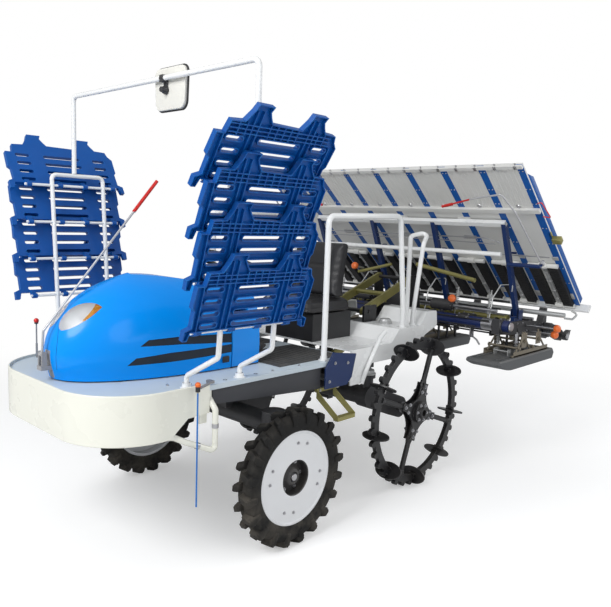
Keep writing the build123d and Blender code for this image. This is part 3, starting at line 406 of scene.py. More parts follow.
# each finish: colour, roughness and what differs from a plain finish
FINISHES = {
    "bonnet_blue": (BONNET_BLUE, 0.2, dict(coat=0.12, shine=0.15, bump=0.02, dust=0.05, darker=0.95, zones=(
        (box_zone((1.6455, -0.0215, 0.8), (FAR, 0.0215, 0.93)), (0.3, 0.3, 0.31)),
        (nose_seam_zone, (0.002, 0.05, 0.2)),
        (band_zone(((0.91, 0.925), (1.195, 0.944), (1.375, 0.948)),
                   ((0.91, 0.968), (1.195, 0.979), (1.338, 0.974), (1.375, 0.948))), CHARCOAL),
        (band_zone(((0.91, 0.88), (1.245, 0.87), (1.428, 0.868)),
                   ((0.91, 0.918), (1.245, 0.911), (1.392, 0.899), (1.428, 0.868))), CHARCOAL)))),
    "cowl_blue": ((0.02, 0.02, 0.022), 0.3, dict(bump=0.1, dust=0.05, zones=(
        (box_zone((0.7425, -FAR, 0.8065), EVERYWHERE[1]), BONNET_BLUE),))),
    # trays: the lighter blue on their edges is a painted highlight of light on the rims, not wear
    "tray_blue": ((0.002, 0.08, 0.34), 0.36, dict(
        shine=0.3, wear_and_highlight=0.9, wear_and_highlight_colour=(0.008, 0.24, 0.66), grain=900, bump=0.15, dust=0.08)),
    "bumper_cream": ((0.77, 0.77, 0.69), 0.26, dict(shine=0.3, coat=0.4, bump=0.02, dust=0.15, darker=0.97)),
    "deck_grey": ((0.56, 0.64, 0.7), 0.4, dict(shine=0.3, grain=700, bump=0.2, dust=0.2)),
    "white_paint": ((0.82, 0.83, 0.83), 0.25, dict(coat=0.3, bump=0.02, dust=0.15, darker=0.96)),
    "navy_paint": ((0.008, 0.026, 0.105), 0.3, dict(dust=0.08, wear_and_highlight=0.5, shine=0.35)),
    "black_paint": ((0.01, 0.01, 0.012), 0.33, dict(dust=0.14, wear_and_highlight=0.6)),
    "cast_grey": ((0.05, 0.05, 0.054), 0.5, dict(metallic=0.3, grain=260, bump=0.4, wear_and_highlight=0.5)),
    "worn_steel": ((0.24, 0.21, 0.16), 0.45, dict(metallic=0.5, dust=0.6, wear_and_highlight=0.6, darker=0.7)),
    "skirt_grey": ((0.06, 0.062, 0.07), 0.5, dict(dust=0.5, wear_and_highlight=0.4, shine=0.3)),
    "tyre_rubber": ((0.011, 0.011, 0.011), 0.68, dict(shine=0.2, grain=500, bump=0.3, dust=0.35)),
    "disc_white": ((0.74, 0.75, 0.77), 0.35, dict(dust=0.2, darker=0.95, zones=(
        (disc_zone(0.79, 0.325, 0.0845), (0.018, 0.018, 0.02)),))),
    "beam_navy": ((0.012, 0.012, 0.014), 0.35, dict(dust=0.3, zones=(
        (box_zone((-FAR, 0.2, -FAR), (-0.7, FAR, FAR)), BEAM_BLUE),
        (box_zone((-FAR, -FAR, -FAR), (-0.7, -0.2, FAR)), BEAM_BLUE)))),
    "centre_rod": ((0.52, 0.52, 0.54), 0.3, dict(metallic=0.4, dust=0.1, zones=(
        (box_zone((-FAR, -FAR, 1.517), EVERYWHERE[1]), RED),))),
    "edge_rods": ((0.3, 0.3, 0.31), 0.35, dict(metallic=0.3, dust=0.1, zones=(
        (box_zone((1.29, 0.54, 0.2), (1.33, FAR, 0.8)), (0.02, 0.16, 0.5)),
        (box_zone((1.29, 0.54, 0.822), (1.33, FAR, 0.9)), ORANGE),
        (box_zone((1.48, -FAR, 0.966), (1.53, 0, FAR)), RED)))),
    "line_rods": ((0.5, 0.5, 0.52), 0.3, dict(metallic=0.4, dust=0.1, zones=(
        (box_zone((-FAR, 0.1, 1.45), (FAR, 0.69, FAR)), RED),
        (box_zone((-FAR, -0.69, 1.45), (FAR, -0.1, FAR)), RED)))),
    "seat_vinyl": ((0.012, 0.012, 0.014), 0.45, dict(grain=900, bump=0.5, dust=0.05)),
    "bare_steel": ((0.52, 0.52, 0.54), 0.3, dict(metallic=1.0, dust=0.1)),
    "olive_zinc": ((0.36, 0.33, 0.12), 0.38, dict(metallic=0.6, dust=0.2, darker=0.75)),
    "table_metal": ((0.7, 0.7, 0.68), 0.42, dict(metallic=0.1, dust=0.1)),
    "divider_blue": ((0.004, 0.09, 0.36), 0.4, dict(dust=0.1, shine=0.3)),
    "belt_rubber": ((0.01, 0.01, 0.011), 0.6, dict(grain=600, bump=0.4, dust=0.1)),
    "float_grey": ((0.075, 0.08, 0.085), 0.5, dict(bump=0.2, dust=0.5)),
    "grip_red": (RED, 0.35, dict(dust=0.05)),
    "knob_orange": (ORANGE, 0.3, dict(dust=0.05)),
    "mirror_shell": ((0.74, 0.73, 0.68), 0.3, dict(dust=0.1)),
    "moulded_black": ((0.016, 0.016, 0.018), 0.42, dict(grain=900, bump=0.25, dust=0.05)),
    "mat_rubber": ((0.045, 0.047, 0.05), 0.75, dict(grain=500, bump=0.3, dust=0.3)),
    "galvanised": ((0.55, 0.56, 0.56), 0.4, dict(metallic=0.55, grain=120, bump=0.1, dust=0.15, darker=0.75)),
    "nylon_white": ((0.8, 0.8, 0.77), 0.35, dict(dust=0.1)),
    "gauge_white": ((0.78, 0.79, 0.78), 0.25, dict(coat=0.8, dust=0.0)),
    "lamp_chrome": ((0.93, 0.94, 0.95), 0.2, dict(metallic=0.5, bump=0.01, dust=0.0, darker=0.97)),
    "mirror_glass": ((0.8, 0.83, 0.85), 0.03, dict(metallic=1.0, bump=0.0, dust=0.0, darker=0.99)),
    "bulb_glass": ((0.92, 0.9, 0.84), 0.1, dict(coat=0.5, bump=0.0, dust=0.0, darker=0.97)),
}
paint = {name: finish_material(name, colour, roughness, **more)
         for name, (colour, roughness, more) in FINISHES.items()}
paint["headlamp_lens"] = lens_material("headlamp_lens")

NODE_FINISH = {
    "bonnet_blue": "hood",
    "cowl_blue": "dash_console",
    "beam_navy": "planting_frame",
    "centre_rod": "centre_marker",
    "edge_rods": "edge_markers",
    "line_rods": "line_marker_left line_marker_right",
    "headlamp_lens": "headlamps",
    "bumper_cream": "front_bumper guard_pipes",
    "deck_grey": "floor_deck",
    "white_paint": "rear_deck handrails rack_frame_left rack_frame_right mirror_bar table_rails",
    "navy_paint": "side_panels table_posts",
    "black_paint": "main_frame rear_wheel_left rear_wheel_right steering_wheel lift_barrel",
    "cast_grey": "engine_block transmission_case front_axle_case rear_axle_case steering_knuckle_left "
                 "steering_knuckle_right planting_cases planting_rotor_1 planting_rotor_2 planting_rotor_3 "
                 "planting_rotor_4",
    "tyre_rubber": "front_tyre_left front_tyre_right",
    "disc_white": "front_wheel_disc_left front_wheel_disc_right",
    "seat_vinyl": "seat_base seat_cushion seat_back",
    "bare_steel": "lift_rod",
    "olive_zinc": "side_steps lift_lower_links lift_upper_links",
    "table_metal": "seedling_table",
    "belt_rubber": "table_belts",
    "float_grey": "floats",
    "mirror_shell": "rear_view_mirror",
    "tray_blue": " ".join(name for name in nodes if name.startswith("seedling_tray")),
}
for finish, names in NODE_FINISH.items():
    for name in names.split():
        nodes[name].data.materials.clear()
        nodes[name].data.materials.append(paint[finish])


# ---- mesh tools --------------------------------------------------------------
def along(direction):
    """A turn that lays a mesh's own Z along a direction."""
    return Vector(direction).to_track_quat("Z", "Y").to_matrix().to_4x4()


def drum(bm, start, end, radius, end_radius=None, sides=20):
    """A round bar, straight or tapered, between two points."""
    start, end = Vector(start), Vector(end)
    place = Matrix.Translation((start + end) / 2) @ along(end - start)
    bmesh.ops.create_cone(bm, cap_ends=True, segments=sides, radius1=radius,
                          radius2=radius if end_radius is None else end_radius,
                          depth=(end - start).length, matrix=place)


def ball(bm, centre, radius, steps):
    bmesh.ops.create_uvsphere(bm, u_segments=2 * steps, v_segments=steps, radius=radius,
                              matrix=Matrix.Translation(centre))


def slab(bm, low, high, edge=0.0, steps=2):
    """A box between two corners with rounded edges."""
    low, high = Vector(low), Vector(high)
    size = high - low
    place = Matrix.Translation((low + high) / 2) @ Matrix.Diagonal((*size, 1))
    verts = bmesh.ops.create_cube(bm, size=1, matrix=place)["verts"]
    if edge:
        edges = {link for vert in verts for link in vert.link_edges}
        made = bmesh.ops.bevel(bm, geom=list(edges), offset=edge, segments=steps, profile=0.5, affect="EDGES",
                               material=-1)
        return made["verts"]
    return verts


def side_slab(bm, side, low, high, edge=0.0, steps=2):
    """A slab on the left side of the machine, or its mirror image on the right."""
    right, left = sorted((side * low[1], side * high[1]))
    return slab(bm, (low[0], right, low[2]), (high[0], left, high[2]), edge, steps)


def around(centre, angle, reach):
    """A point round an axle that lies across the machine."""
    return centre + Vector((math.cos(angle), 0, math.sin(angle))) * reach


def picked(made, kind):
    """The vertices or edges in what an operator made."""
    return [item for item in made if isinstance(item, kind)]


def bent_rod(bm, points, radius, bend=0.012, sides=10):
    """A round rod along straight runs, spun round each corner."""
    points = [Vector(point) for point in points]
    heading = (points[1] - points[0]).normalized()
    place = Matrix.Translation(points[0]) @ along(heading)
    ring = bmesh.ops.create_circle(bm, cap_ends=False, segments=sides, radius=radius, matrix=place)["verts"]
    edges = list({link for vert in ring for link in vert.link_edges})
    bmesh.ops.contextual_create(bm, geom=edges)
    here = points[0]
    for corner, following in zip(points[1:], points[2:] + [None]):
        if following is None:
            target = corner
        else:
            leaving = (following - corner).normalized()
            turn = heading.angle(leaving)
            room = min((corner - here).length, (following - corner).length)
            cut = min(bend * math.tan(turn / 2), 0.45 * room)
            target = corner - heading * cut
        made = bmesh.ops.extrude_edge_only(bm, edges=edges)["geom"]
        verts, edges = picked(made, bmesh.types.BMVert), picked(made, bmesh.types.BMEdge)
        bmesh.ops.translate(bm, verts=verts, vec=target - here)
        here = target
        if following is not None and turn > 0.02:
            axis = heading.cross(leaving).normalized()
            round_radius = cut / math.tan(turn / 2)
            centre = here + axis.cross(heading).normalized() * round_radius
            made = bmesh.ops.spin(bm, geom=verts + edges, cent=centre, axis=axis, angle=turn,
                                  steps=max(2, round(turn / 0.35)), use_duplicate=False)["geom_last"]
            edges = picked(made, bmesh.types.BMEdge)
            here = corner + leaving * cut
            heading = leaving
    bmesh.ops.contextual_create(bm, geom=edges)


def coil_spring(bm, start, end, radius, wire, turns):
    """A round wire wound round the line from one point to another."""
    sides, steps_per_turn = 6, 12
    start, end = Vector(start), Vector(end)
    line = end - start
    place = (Matrix.Translation(start) @ along(line) @ Matrix.Translation((radius, 0, 0))
             @ Matrix.Rotation(math.pi / 2, 4, "X"))
    ring = bmesh.ops.create_circle(bm, cap_ends=True, segments=sides, radius=wire, matrix=place)["verts"]
    edges = list({link for vert in ring for link in vert.link_edges})
    steps = round(turns * steps_per_turn)
    made = bmesh.ops.spin(bm, geom=ring + edges, cent=start, axis=line.normalized(), dvec=line / steps,
                          angle=turns * 2 * math.pi, steps=steps, use_duplicate=False)["geom_last"]
    bmesh.ops.contextual_create(bm, geom=picked(made, bmesh.types.BMEdge))


def hex_bolt(bm, place, axis, size):
    """A washer, a six-sided head and the thread's end, all in proportion to the size, standing on a face."""
    place, axis = Vector(place), Vector(axis).normalized()
    drum(bm, place - axis * 0.001, place + axis * size * 0.15, size * 1.05, sides=16)
    for start, end, reach, sides in ((0.15, 0.75, 0.72, 6), (0.75, 0.95, 0.42, 10)):
        drum(bm, place + axis * size * start, place + axis * size * end, size * reach, sides=sides)


def turned(bm, profile, place, axis, steps, closed=False):
    """A form turned round an axis through a place, from (out along the axis, radius) points."""
    place = Vector(place)
    if closed:
        profile = profile + profile[:1]
    turn = Matrix.Translation(place) @ along(axis)
    verts = [bm.verts.new(turn @ Vector((radius, 0, out))) for out, radius in profile]
    edges = [bm.edges.new(pair) for pair in zip(verts, verts[1:])]
    bmesh.ops.spin(bm, geom=verts + edges, cent=place, axis=Vector(axis).normalized(), angle=2 * math.pi,
                   steps=steps, use_merge=True, use_duplicate=False)
    bmesh.ops.remove_doubles(bm, verts=bm.verts[:], dist=0.00002)


def piece(bm, name, body, finish, crease=35, merge=True):
    """Makes a bmesh a smooth-shaded piece that rides on a body; edges sharper than the crease stay sharp."""
    if merge:
        bmesh.ops.remove_doubles(bm, verts=bm.verts[:], dist=0.00001)
    bmesh.ops.recalc_face_normals(bm, faces=bm.faces[:])
    mesh = bpy.data.meshes.new(name)
    bm.to_mesh(mesh)
    bm.free()
    for face in mesh.polygons:
        face.use_smooth = True
    mesh.set_sharp_from_angle(angle=math.radians(crease))
    mesh.materials.append(paint[finish])
    made = bpy.data.objects.new(name, mesh)
    scene.collection.objects.link(made)
    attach(made, body)
    return made


SIDES = (("left", 1), ("right", -1))

# ---- front wheels ------------------------------------------------------------
FRONT_AXLE = (0.79, 0.325)
FRONT_Y = 0.5975
LUGS = 20
LUG_MIDDLE, LUG_HALF = Vector((0, 0.0245, 0.306)), Vector((0.023, 0.0235, 0.017))
FOOT_MIDDLE, FOOT_HALF = Vector((0, 0.043, 0.283)), Vector((0.019, 0.0075, 0.03))
SIDEWALL = [(0.2222, 0.034), (0.228, 0.041), (0.24, 0.0445), (0.262, 0.046), (0.284, 0.043), (0.295, 0.035),
            (0.3, 0.02)]               # radius and distance from the tyre's middle


def wheel_turn(angle, centre):
    """A turn about a wheel's axle through its centre."""
    return Matrix.Translation(centre) @ Matrix.Rotation(angle, 4, "Y") @ Matrix.Translation(-centre)


def front_tyre(name, side):
    centre = Vector((FRONT_AXLE[0], side * FRONT_Y, FRONT_AXLE[1]))
    bm = bmesh.new()
    profile = [(-out, radius) for radius, out in SIDEWALL]
    profile += [(-out, radius) for out, radius in reversed(profile)]
    turned(bm, profile, centre, (0, 1, 0), steps=80, closed=True)
    for lug in range(LUGS):
        for half in (1, -1):
            # a block from the tread's middle over the shoulder, and its foot down the side
            place = centre + Vector((0, half * LUG_MIDDLE.y, LUG_MIDDLE.z))
            block = slab(bm, place - LUG_HALF, place + LUG_HALF, 0.005)
            for vert in block:
                if vert.co.z > place.z:
                    vert.co.x = centre.x + (vert.co.x - centre.x) * 0.62
                    vert.co.z -= 0.006 * max(0, abs(vert.co.y - centre.y) / 0.047 - 0.5)
            place = centre + Vector((0, half * FOOT_MIDDLE.y, FOOT_MIDDLE.z))
            foot = slab(bm, place - FOOT_HALF, place + FOOT_HALF, 0.006)
            for vert in foot:
                if vert.co.z < place.z:
                    vert.co.x = centre.x + (vert.co.x - centre.x) * 0.72
            made = block + foot
            for vert in made:           # the blocks lean like a shallow arrow
                vert.co.x += abs(vert.co.y - centre.y) * 0.42 - 0.01
            angle = (lug + half / 4) * 2 * math.pi / LUGS
            bmesh.ops.transform(bm, matrix=wheel_turn(angle, centre), verts=made)
    tyre = piece(bm, f"front_tyre_tread_{name}", f"front_wheel_{name}", "tyre_rubber", crease=45, merge=False)
    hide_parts(f"front_tyre_{name}")


def front_hub(name, side):
    centre = Vector((FRONT_AXLE[0], side * FRONT_Y, FRONT_AXLE[1]))
    out = Vector((0, side, 0))
    bm = bmesh.new()
    for pair in range(4):
        for shift in (-11, 11):
            angle = math.radians(90 * pair + 14 + shift)
            hex_bolt(bm, around(centre, angle, 0.165) + out * 0.03, out, 0.008)
    piece(bm, f"disc_bolts_{name}", f"front_wheel_{name}", "bare_steel")
    bm = bmesh.new()
    turned(bm, [(-0.012, 0.0205), (-0.012, 0.056), (-0.006, 0.058), (-0.004, 0.054), (0.002, 0.046),
                (0.012, 0.04), (0.018, 0.034), (0.02, 0.026), (0.0125, 0.0205)],
           centre, out, steps=40, closed=True)
    piece(bm, f"hub_flange_{name}", f"front_wheel_{name}", "cast_grey")
    bm = bmesh.new()
    drum(bm, centre + out * 0.0125, centre + out * 0.022, 0.02, 0.016)
    for step in range(6):
        hex_bolt(bm, around(centre, math.radians(60 * step), 0.068) - out * 0.012, out, 0.009)
    piece(bm, f"hub_bolts_{name}", f"front_wheel_{name}", "bare_steel")


for name, side in SIDES:
    front_tyre(name, side)
    front_hub(name, side)


# ---- rear wheels -------------------------------------------------------------
REAR_AXLE = (-0.25, 0.433)
REAR_Y = 0.58
SPOKES = [math.radians(20 + 90 * arm) for arm in range(4)]
PADDLES = [math.radians(-90 + 40 * paddle) for paddle in range(9)]
RIM_REACH = 0.372


def wheel_ways(angle):
    """The directions out from a wheel's axle and round it."""
    return Vector((math.cos(angle), 0, math.sin(angle))), Vector((-math.sin(angle), 0, math.cos(angle)))


def rear_hub(name, side):
    centre = Vector((REAR_AXLE[0], side * REAR_Y, REAR_AXLE[1]))
    out = Vector((0, side, 0))
    bm = bmesh.new()
    for angle in SPOKES:
        outward, onward = wheel_ways(angle)
        for face in (1, -1):
            for reach, shift in ((0.148, 0.0), (0.112, 0.022), (0.112, -0.022)):
                hex_bolt(bm, centre + outward * reach + onward * shift + out * face * 0.024, out * face, 0.01)
    for step in range(6):
        hex_bolt(bm, around(centre, math.radians(60 * step + 10), 0.046) + out * 0.042, out, 0.009)
    piece(bm, f"spider_bolts_{name}", f"rear_wheel_{name}", "bare_steel")
    bm = bmesh.new()
    profile = [(0.042, 0.019), (0.042, 0.034), (0.05, 0.032), (0.056, 0.026), (0.056, 0.019)]
    turned(bm, profile, centre, out, steps=32, closed=True)
    for angle in SPOKES:                # collars where the spokes enter the rim and leave the hub
        drum(bm, around(centre, angle, 0.345), around(centre, angle, RIM_REACH), 0.0175, 0.022)
        drum(bm, around(centre, angle, 0.15), around(centre, angle, 0.185), 0.021, 0.0165)
    for angle in PADDLES:               # the paddles' stems
        outward, onward = wheel_ways(angle)
        for way in (1, -1):
            for face in (1, -1):
                foot = centre + outward * RIM_REACH + onward * way * 0.028 + out * face * 0.018
                bent_rod(bm, [foot, foot + outward * 0.002 - onward * way * 0.0235], 0.006)
    piece(bm, f"wheel_collars_{name}", f"rear_wheel_{name}", "black_paint")


for name, side in SIDES:
    rear_hub(name, side)

# ---- headlamps ---------------------------------------------------------------
LAMP_MIDDLE = Vector((1.582, 0.072, 1.068))
LAMP_OUT = Vector((0.758, 0.368, 0.541)).normalized()
LAMP_LONG = Vector((-0.11, 0.108, 0.08))


def lamp_inside(name, side):
    """A bright bowl behind the lens, with two round beam bowls and their bulbs in it."""
    out, middle, long_way = (Vector((way.x, side * way.y, way.z))
                             for way in (LAMP_OUT, LAMP_MIDDLE, LAMP_LONG))
    long_way = (long_way - out * long_way.dot(out)).normalized()
    turn = Matrix((long_way, out.cross(long_way), out)).transposed().to_4x4()
    mouth = middle - out * 0.03
    bm = bmesh.new()
    place = Matrix.Translation(mouth) @ turn @ Matrix.Diagonal((0.078, 0.048, 0.036, 1))
    bmesh.ops.create_uvsphere(bm, u_segments=40, v_segments=20, radius=1, matrix=place)
    bmesh.ops.bisect_plane(bm, geom=bm.verts[:] + bm.edges[:] + bm.faces[:], plane_co=mouth, plane_no=out,
                           clear_outer=True)
    bmesh.ops.solidify(bm, geom=bm.faces[:], thickness=0.0012)
    piece(bm, f"lamp_bowl_{name}", "bonnet", "lamp_chrome", crease=60)
    beam = middle - out * 0.055 - long_way * 0.018
    small = middle - out * 0.047 + long_way * 0.036
    bm = bmesh.new()
    turned(bm, [(0, 0.006), (0.004, 0.016), (0.012, 0.026), (0.024, 0.033), (0.025, 0.036), (0.011, 0.029),
                (0.002, 0.018), (-0.002, 0.006)], beam, out, steps=40, closed=True)
    turned(bm, [(0, 0.004), (0.003, 0.01), (0.01, 0.018), (0.011, 0.02), (0.001, 0.012), (-0.002, 0.004)],
           small, out, steps=32, closed=True)
    piece(bm, f"lamp_beams_{name}", "bonnet", "lamp_chrome", crease=60)
    bm = bmesh.new()
    for spot, neck, stem, tip, bulb in ((beam, 0.01, 0.006, 0.012, 0.007),
                                        (small, 0.004, 0.004, 0.006, 0.005)):
        drum(bm, spot - out * 0.004, spot + out * neck, stem)
        ball(bm, spot + out * tip, bulb, steps=8)
    piece(bm, f"lamp_bulbs_{name}", "bonnet", "bulb_glass", crease=60)


for name, side in SIDES:
    lamp_inside(name, side)


# ---- seat --------------------------------------------------------------------
SWELL_FRAMES = 20
SWELL_LIMIT = 0.012                    # a pad's cloth swells no further than this
HELD_HEIGHT = 0.016                    # the pad is held to its pan up to this height


def apply_modifiers(made):
    """Writes an object's modifiers into its mesh."""
    seen = made.evaluated_get(bpy.context.evaluated_depsgraph_get())
    mesh = bpy.data.meshes.new_from_object(seen)
    made.modifiers.clear()
    made.data = mesh


def swell(made, low):
    """Blows a cover up as cloth that is held round its foot."""
    before = [vert.co.copy() for vert in made.data.vertices]
    group = made.vertex_groups.new(name="held")
    group.add([vert.index for vert in made.data.vertices if vert.co.z < low.z + HELD_HEIGHT], 1.0, "REPLACE")
    cloth = made.modifiers.new("swell", "CLOTH")
    cloth.settings.use_pressure = True
    cloth.settings.uniform_pressure_force = 4
    cloth.settings.effector_weights.gravity = 0
    cloth.settings.vertex_group_mass = "held"
    cloth.settings.tension_stiffness = 12
    cloth.point_cache.frame_start = 1
    cloth.point_cache.frame_end = SWELL_FRAMES
    for step in range(1, SWELL_FRAMES + 1):
        scene.frame_set(step)
    apply_modifiers(made)
    scene.frame_set(1)
    for vert, start in zip(made.data.vertices, before):
        moved = vert.co - start
        if moved.length > SWELL_LIMIT:
            vert.co = start + moved * (SWELL_LIMIT / moved.length)


def pad(node_name, shrink, channels):
    """A padded cover, blown up from a slightly smaller copy of its CAD form, with seams drawn into it."""
    low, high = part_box(node_name)
    middle = (low + high) / 2
    size = high - low
    bm = bmesh.new()
    bm.from_mesh(nodes[node_name].data)
    bmesh.ops.remove_doubles(bm, verts=bm.verts[:], dist=0.00002)
    for vert in bm.verts:
        for axis in range(3):
            keep = 1 - 2 * shrink[axis] / size[axis]
            vert.co[axis] = middle[axis] + (vert.co[axis] - middle[axis]) * keep
    mesh = bpy.data.meshes.new(node_name + "_pad")
    bm.to_mesh(mesh)
    bm.free()
    made = bpy.data.objects.new(node_name + "_pad", mesh)
    scene.collection.objects.link(made)
    remesh = made.modifiers.new("even", "REMESH")
    remesh.mode = "VOXEL"
    remesh.voxel_size = 0.008
    apply_modifiers(made)
    swell(made, low)
    bm = bmesh.new()
    bm.from_mesh(made.data)
    for _ in range(4):
        bmesh.ops.smooth_vert(bm, verts=bm.verts[:], factor=0.5, use_axis_x=True, use_axis_y=True,
                              use_axis_z=True)
    bm.to_mesh(made.data)
    bm.free()
    for vert in made.data.vertices:
        for depth, width, distance, covers in channels:
            near = abs(distance(vert.co)) / width
            if near < 1 and covers(vert.co):
                vert.co -= vert.normal * depth * (1 - near * near) ** 2
    made.data.materials.clear()
    made.data.materials.append(paint["seat_vinyl"])
    for face in made.data.polygons:
        face.use_smooth = True
    finer = made.modifiers.new("finer", "SUBSURF")
    finer.levels = 1
    finer.render_levels = 1
    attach(made, "chassis")
    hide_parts(node_name)


cushion_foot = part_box("seat_cushion")[0].z
back_low, back_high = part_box("seat_back")
back_middle = (back_low.x + back_high.x) / 2
back_seam = back_low.z * 0.45 + back_high.z * 0.55
# a seam's depth, half width, distance from a point and the part of the pad that it runs over
pad("seat_cushion", (0.01, 0.01, 0.009), [
    (0.006, 0.012, lambda co: abs(co.y) - 0.12, lambda co: co.z > cushion_foot + 0.05),
    (0.006, 0.012, lambda co: co.x - 0.085, lambda co: co.z > cushion_foot + 0.05 and abs(co.y) < 0.12),
    (0.004, 0.008, lambda co: co.z - (cushion_foot + 0.03), lambda co: True)])
pad("seat_back", (0.01, 0.01, 0.008), [
    (0.006, 0.012, lambda co: abs(co.y) - 0.115, lambda co: co.x > back_middle),
    (0.006, 0.012, lambda co: co.z - back_seam, lambda co: co.x > back_middle and abs(co.y) < 0.115)])


# ---- driver's controls -------------------------------------------------------
GAUGES = ((0.1, 0.038, 0.031), (-0.1, 0.038, 0.031), (0.0, 0.024, 0.019))          # y, ring and face radius
WHEEL_HUB = Vector((0.668, 0, 1.262))
COLUMN = Vector((-0.42, 0, 1)).normalized()
KNOB_PROFILE = [(-0.02, 0.001), (-0.02, 0.008), (-0.004, 0.01), (0.014, 0.016), (0.028, 0.017),
                (0.038, 0.012), (0.042, 0.001)]
# each hand lever's end and the way it points
LEVER_ENDS = (((0.655, 0.285, 1.165), (-0.045, 0.023, 0.155)), ((0.64, -0.29, 1.15), (-0.06, -0.028, 0.14)),
              ((0.13, -0.26, 1.01), (0.03, -0.015, 0.11)), ((0.13, -0.277, 1.01), (0.03, -0.015, 0.11)))


def controls():
    bm = bmesh.new()            # instrument panel, sloped towards the driver
    for vert in slab(bm, (0.69, -0.215, 1.02), (0.7415, 0.215, 1.13), edge=0.012):
        if vert.co.z > 1.08 and vert.co.x < 0.72:
            vert.co.x += 0.03 * (vert.co.z - 1.08) / 0.05
    slab(bm, (0.735, -0.15, 0.86), (0.7415, 0.15, 0.99), edge=0.003)
    piece(bm, "instrument_panel", "chassis", "moulded_black")
    bm = bmesh.new()
    for y, ring, _ in GAUGES:
        profile = [(0, ring * 0.8), (0.006, ring * 0.84), (0.007, ring), (0, ring)]
        turned(bm, profile, (0.6905, y, 1.062), (-1, 0, 0), steps=32, closed=True)
    piece(bm, "gauge_rings", "chassis", "bare_steel")
    bm = bmesh.new()
    for y, _, face in GAUGES:
        drum(bm, (0.692, y, 1.062), (0.6885, y, 1.062), face, sides=32)
    piece(bm, "gauge_faces", "chassis", "gauge_white")
    bm = bmesh.new()
    for y in (0.175, 0.15):
        drum(bm, (0.692, y, 1.04), (0.682, y, 1.04), 0.008)
    slab(bm, (0.676, -0.178, 1.036), (0.692, -0.174, 1.052), edge=0.001)
    drum(bm, (0.692, -0.176, 1.044), (0.686, -0.176, 1.044), 0.012)
    piece(bm, "switches", "chassis", "bare_steel")
    bm = bmesh.new()
    turned(bm, [(0.024, 0.0385), (0.03, 0.036), (0.036, 0.028), (0.038, 0.012), (0.038, 0.001),
                (0.0245, 0.001)], WHEEL_HUB, COLUMN, steps=40, closed=True)
    piece(bm, "wheel_boss_cap", "steering_wheel", "moulded_black")
    bm = bmesh.new()
    turned(bm, [(0.0, 0.0235), (0.0, 0.062), (0.02, 0.058), (0.06, 0.044), (0.12, 0.036), (0.165, 0.034),
                (0.165, 0.0235)], WHEEL_HUB - COLUMN * 0.215, COLUMN, steps=40, closed=True)
    piece(bm, "column_shroud", "chassis", "moulded_black")
    signal_end = WHEEL_HUB - COLUMN * 0.07 + Vector((0, 0.165, 0.03))
    bm = bmesh.new()            # levers with their stems, then the pedals' arms
    bent_rod(bm, [(0.735, 0.255, 0.995), (0.7, 0.262, 1.01), (0.655, 0.285, 1.165)], 0.006, 0.02)
    bent_rod(bm, [(0.735, -0.255, 0.995), (0.7, -0.262, 1.01), (0.64, -0.29, 1.15)], 0.006, 0.02)
    bent_rod(bm, [WHEEL_HUB - COLUMN * 0.085 + Vector((0, 0.03, 0)),
                  WHEEL_HUB - COLUMN * 0.08 + Vector((0, 0.12, 0.012)), signal_end], 0.0045, 0.02)
    for y in (-0.245, -0.262):
        bent_rod(bm, [(0.1, y, 0.83), (0.1, y, 0.9), (0.13, y - 0.015, 1.01)], 0.0065, 0.02)
    for y in (0.15, -0.15):
        bent_rod(bm, [(0.745, y, 0.88), (0.66, y, 0.87), (0.62, y, 0.85)], 0.007, 0.02)
    piece(bm, "lever_stems", "chassis", "bare_steel")
    bm = bmesh.new()            # lever knobs and pedal pads
    for spot, way in LEVER_ENDS:
        turned(bm, KNOB_PROFILE, spot, way, steps=20)
    turned(bm, [(-0.012, 0.001), (-0.012, 0.006), (0, 0.009), (0.014, 0.009), (0.022, 0.005),
                (0.024, 0.001)], signal_end, (0, 0.9, 0.4), steps=16)
    for y in (0.15, -0.15):
        verts = slab(bm, (0.585, y - 0.042, 0.838), (0.645, y + 0.042, 0.85), edge=0.004)
        lean = Matrix.Rotation(math.radians(28), 3, "Y")
        bmesh.ops.rotate(bm, verts=verts, cent=(0.615, y, 0.845), matrix=lean)
    piece(bm, "lever_knobs", "chassis", "moulded_black")


controls()


# ---- floor, bumper and guard pipes -------------------------------------------
DECK_TOP = 0.8
UP = (0, 0, 1)


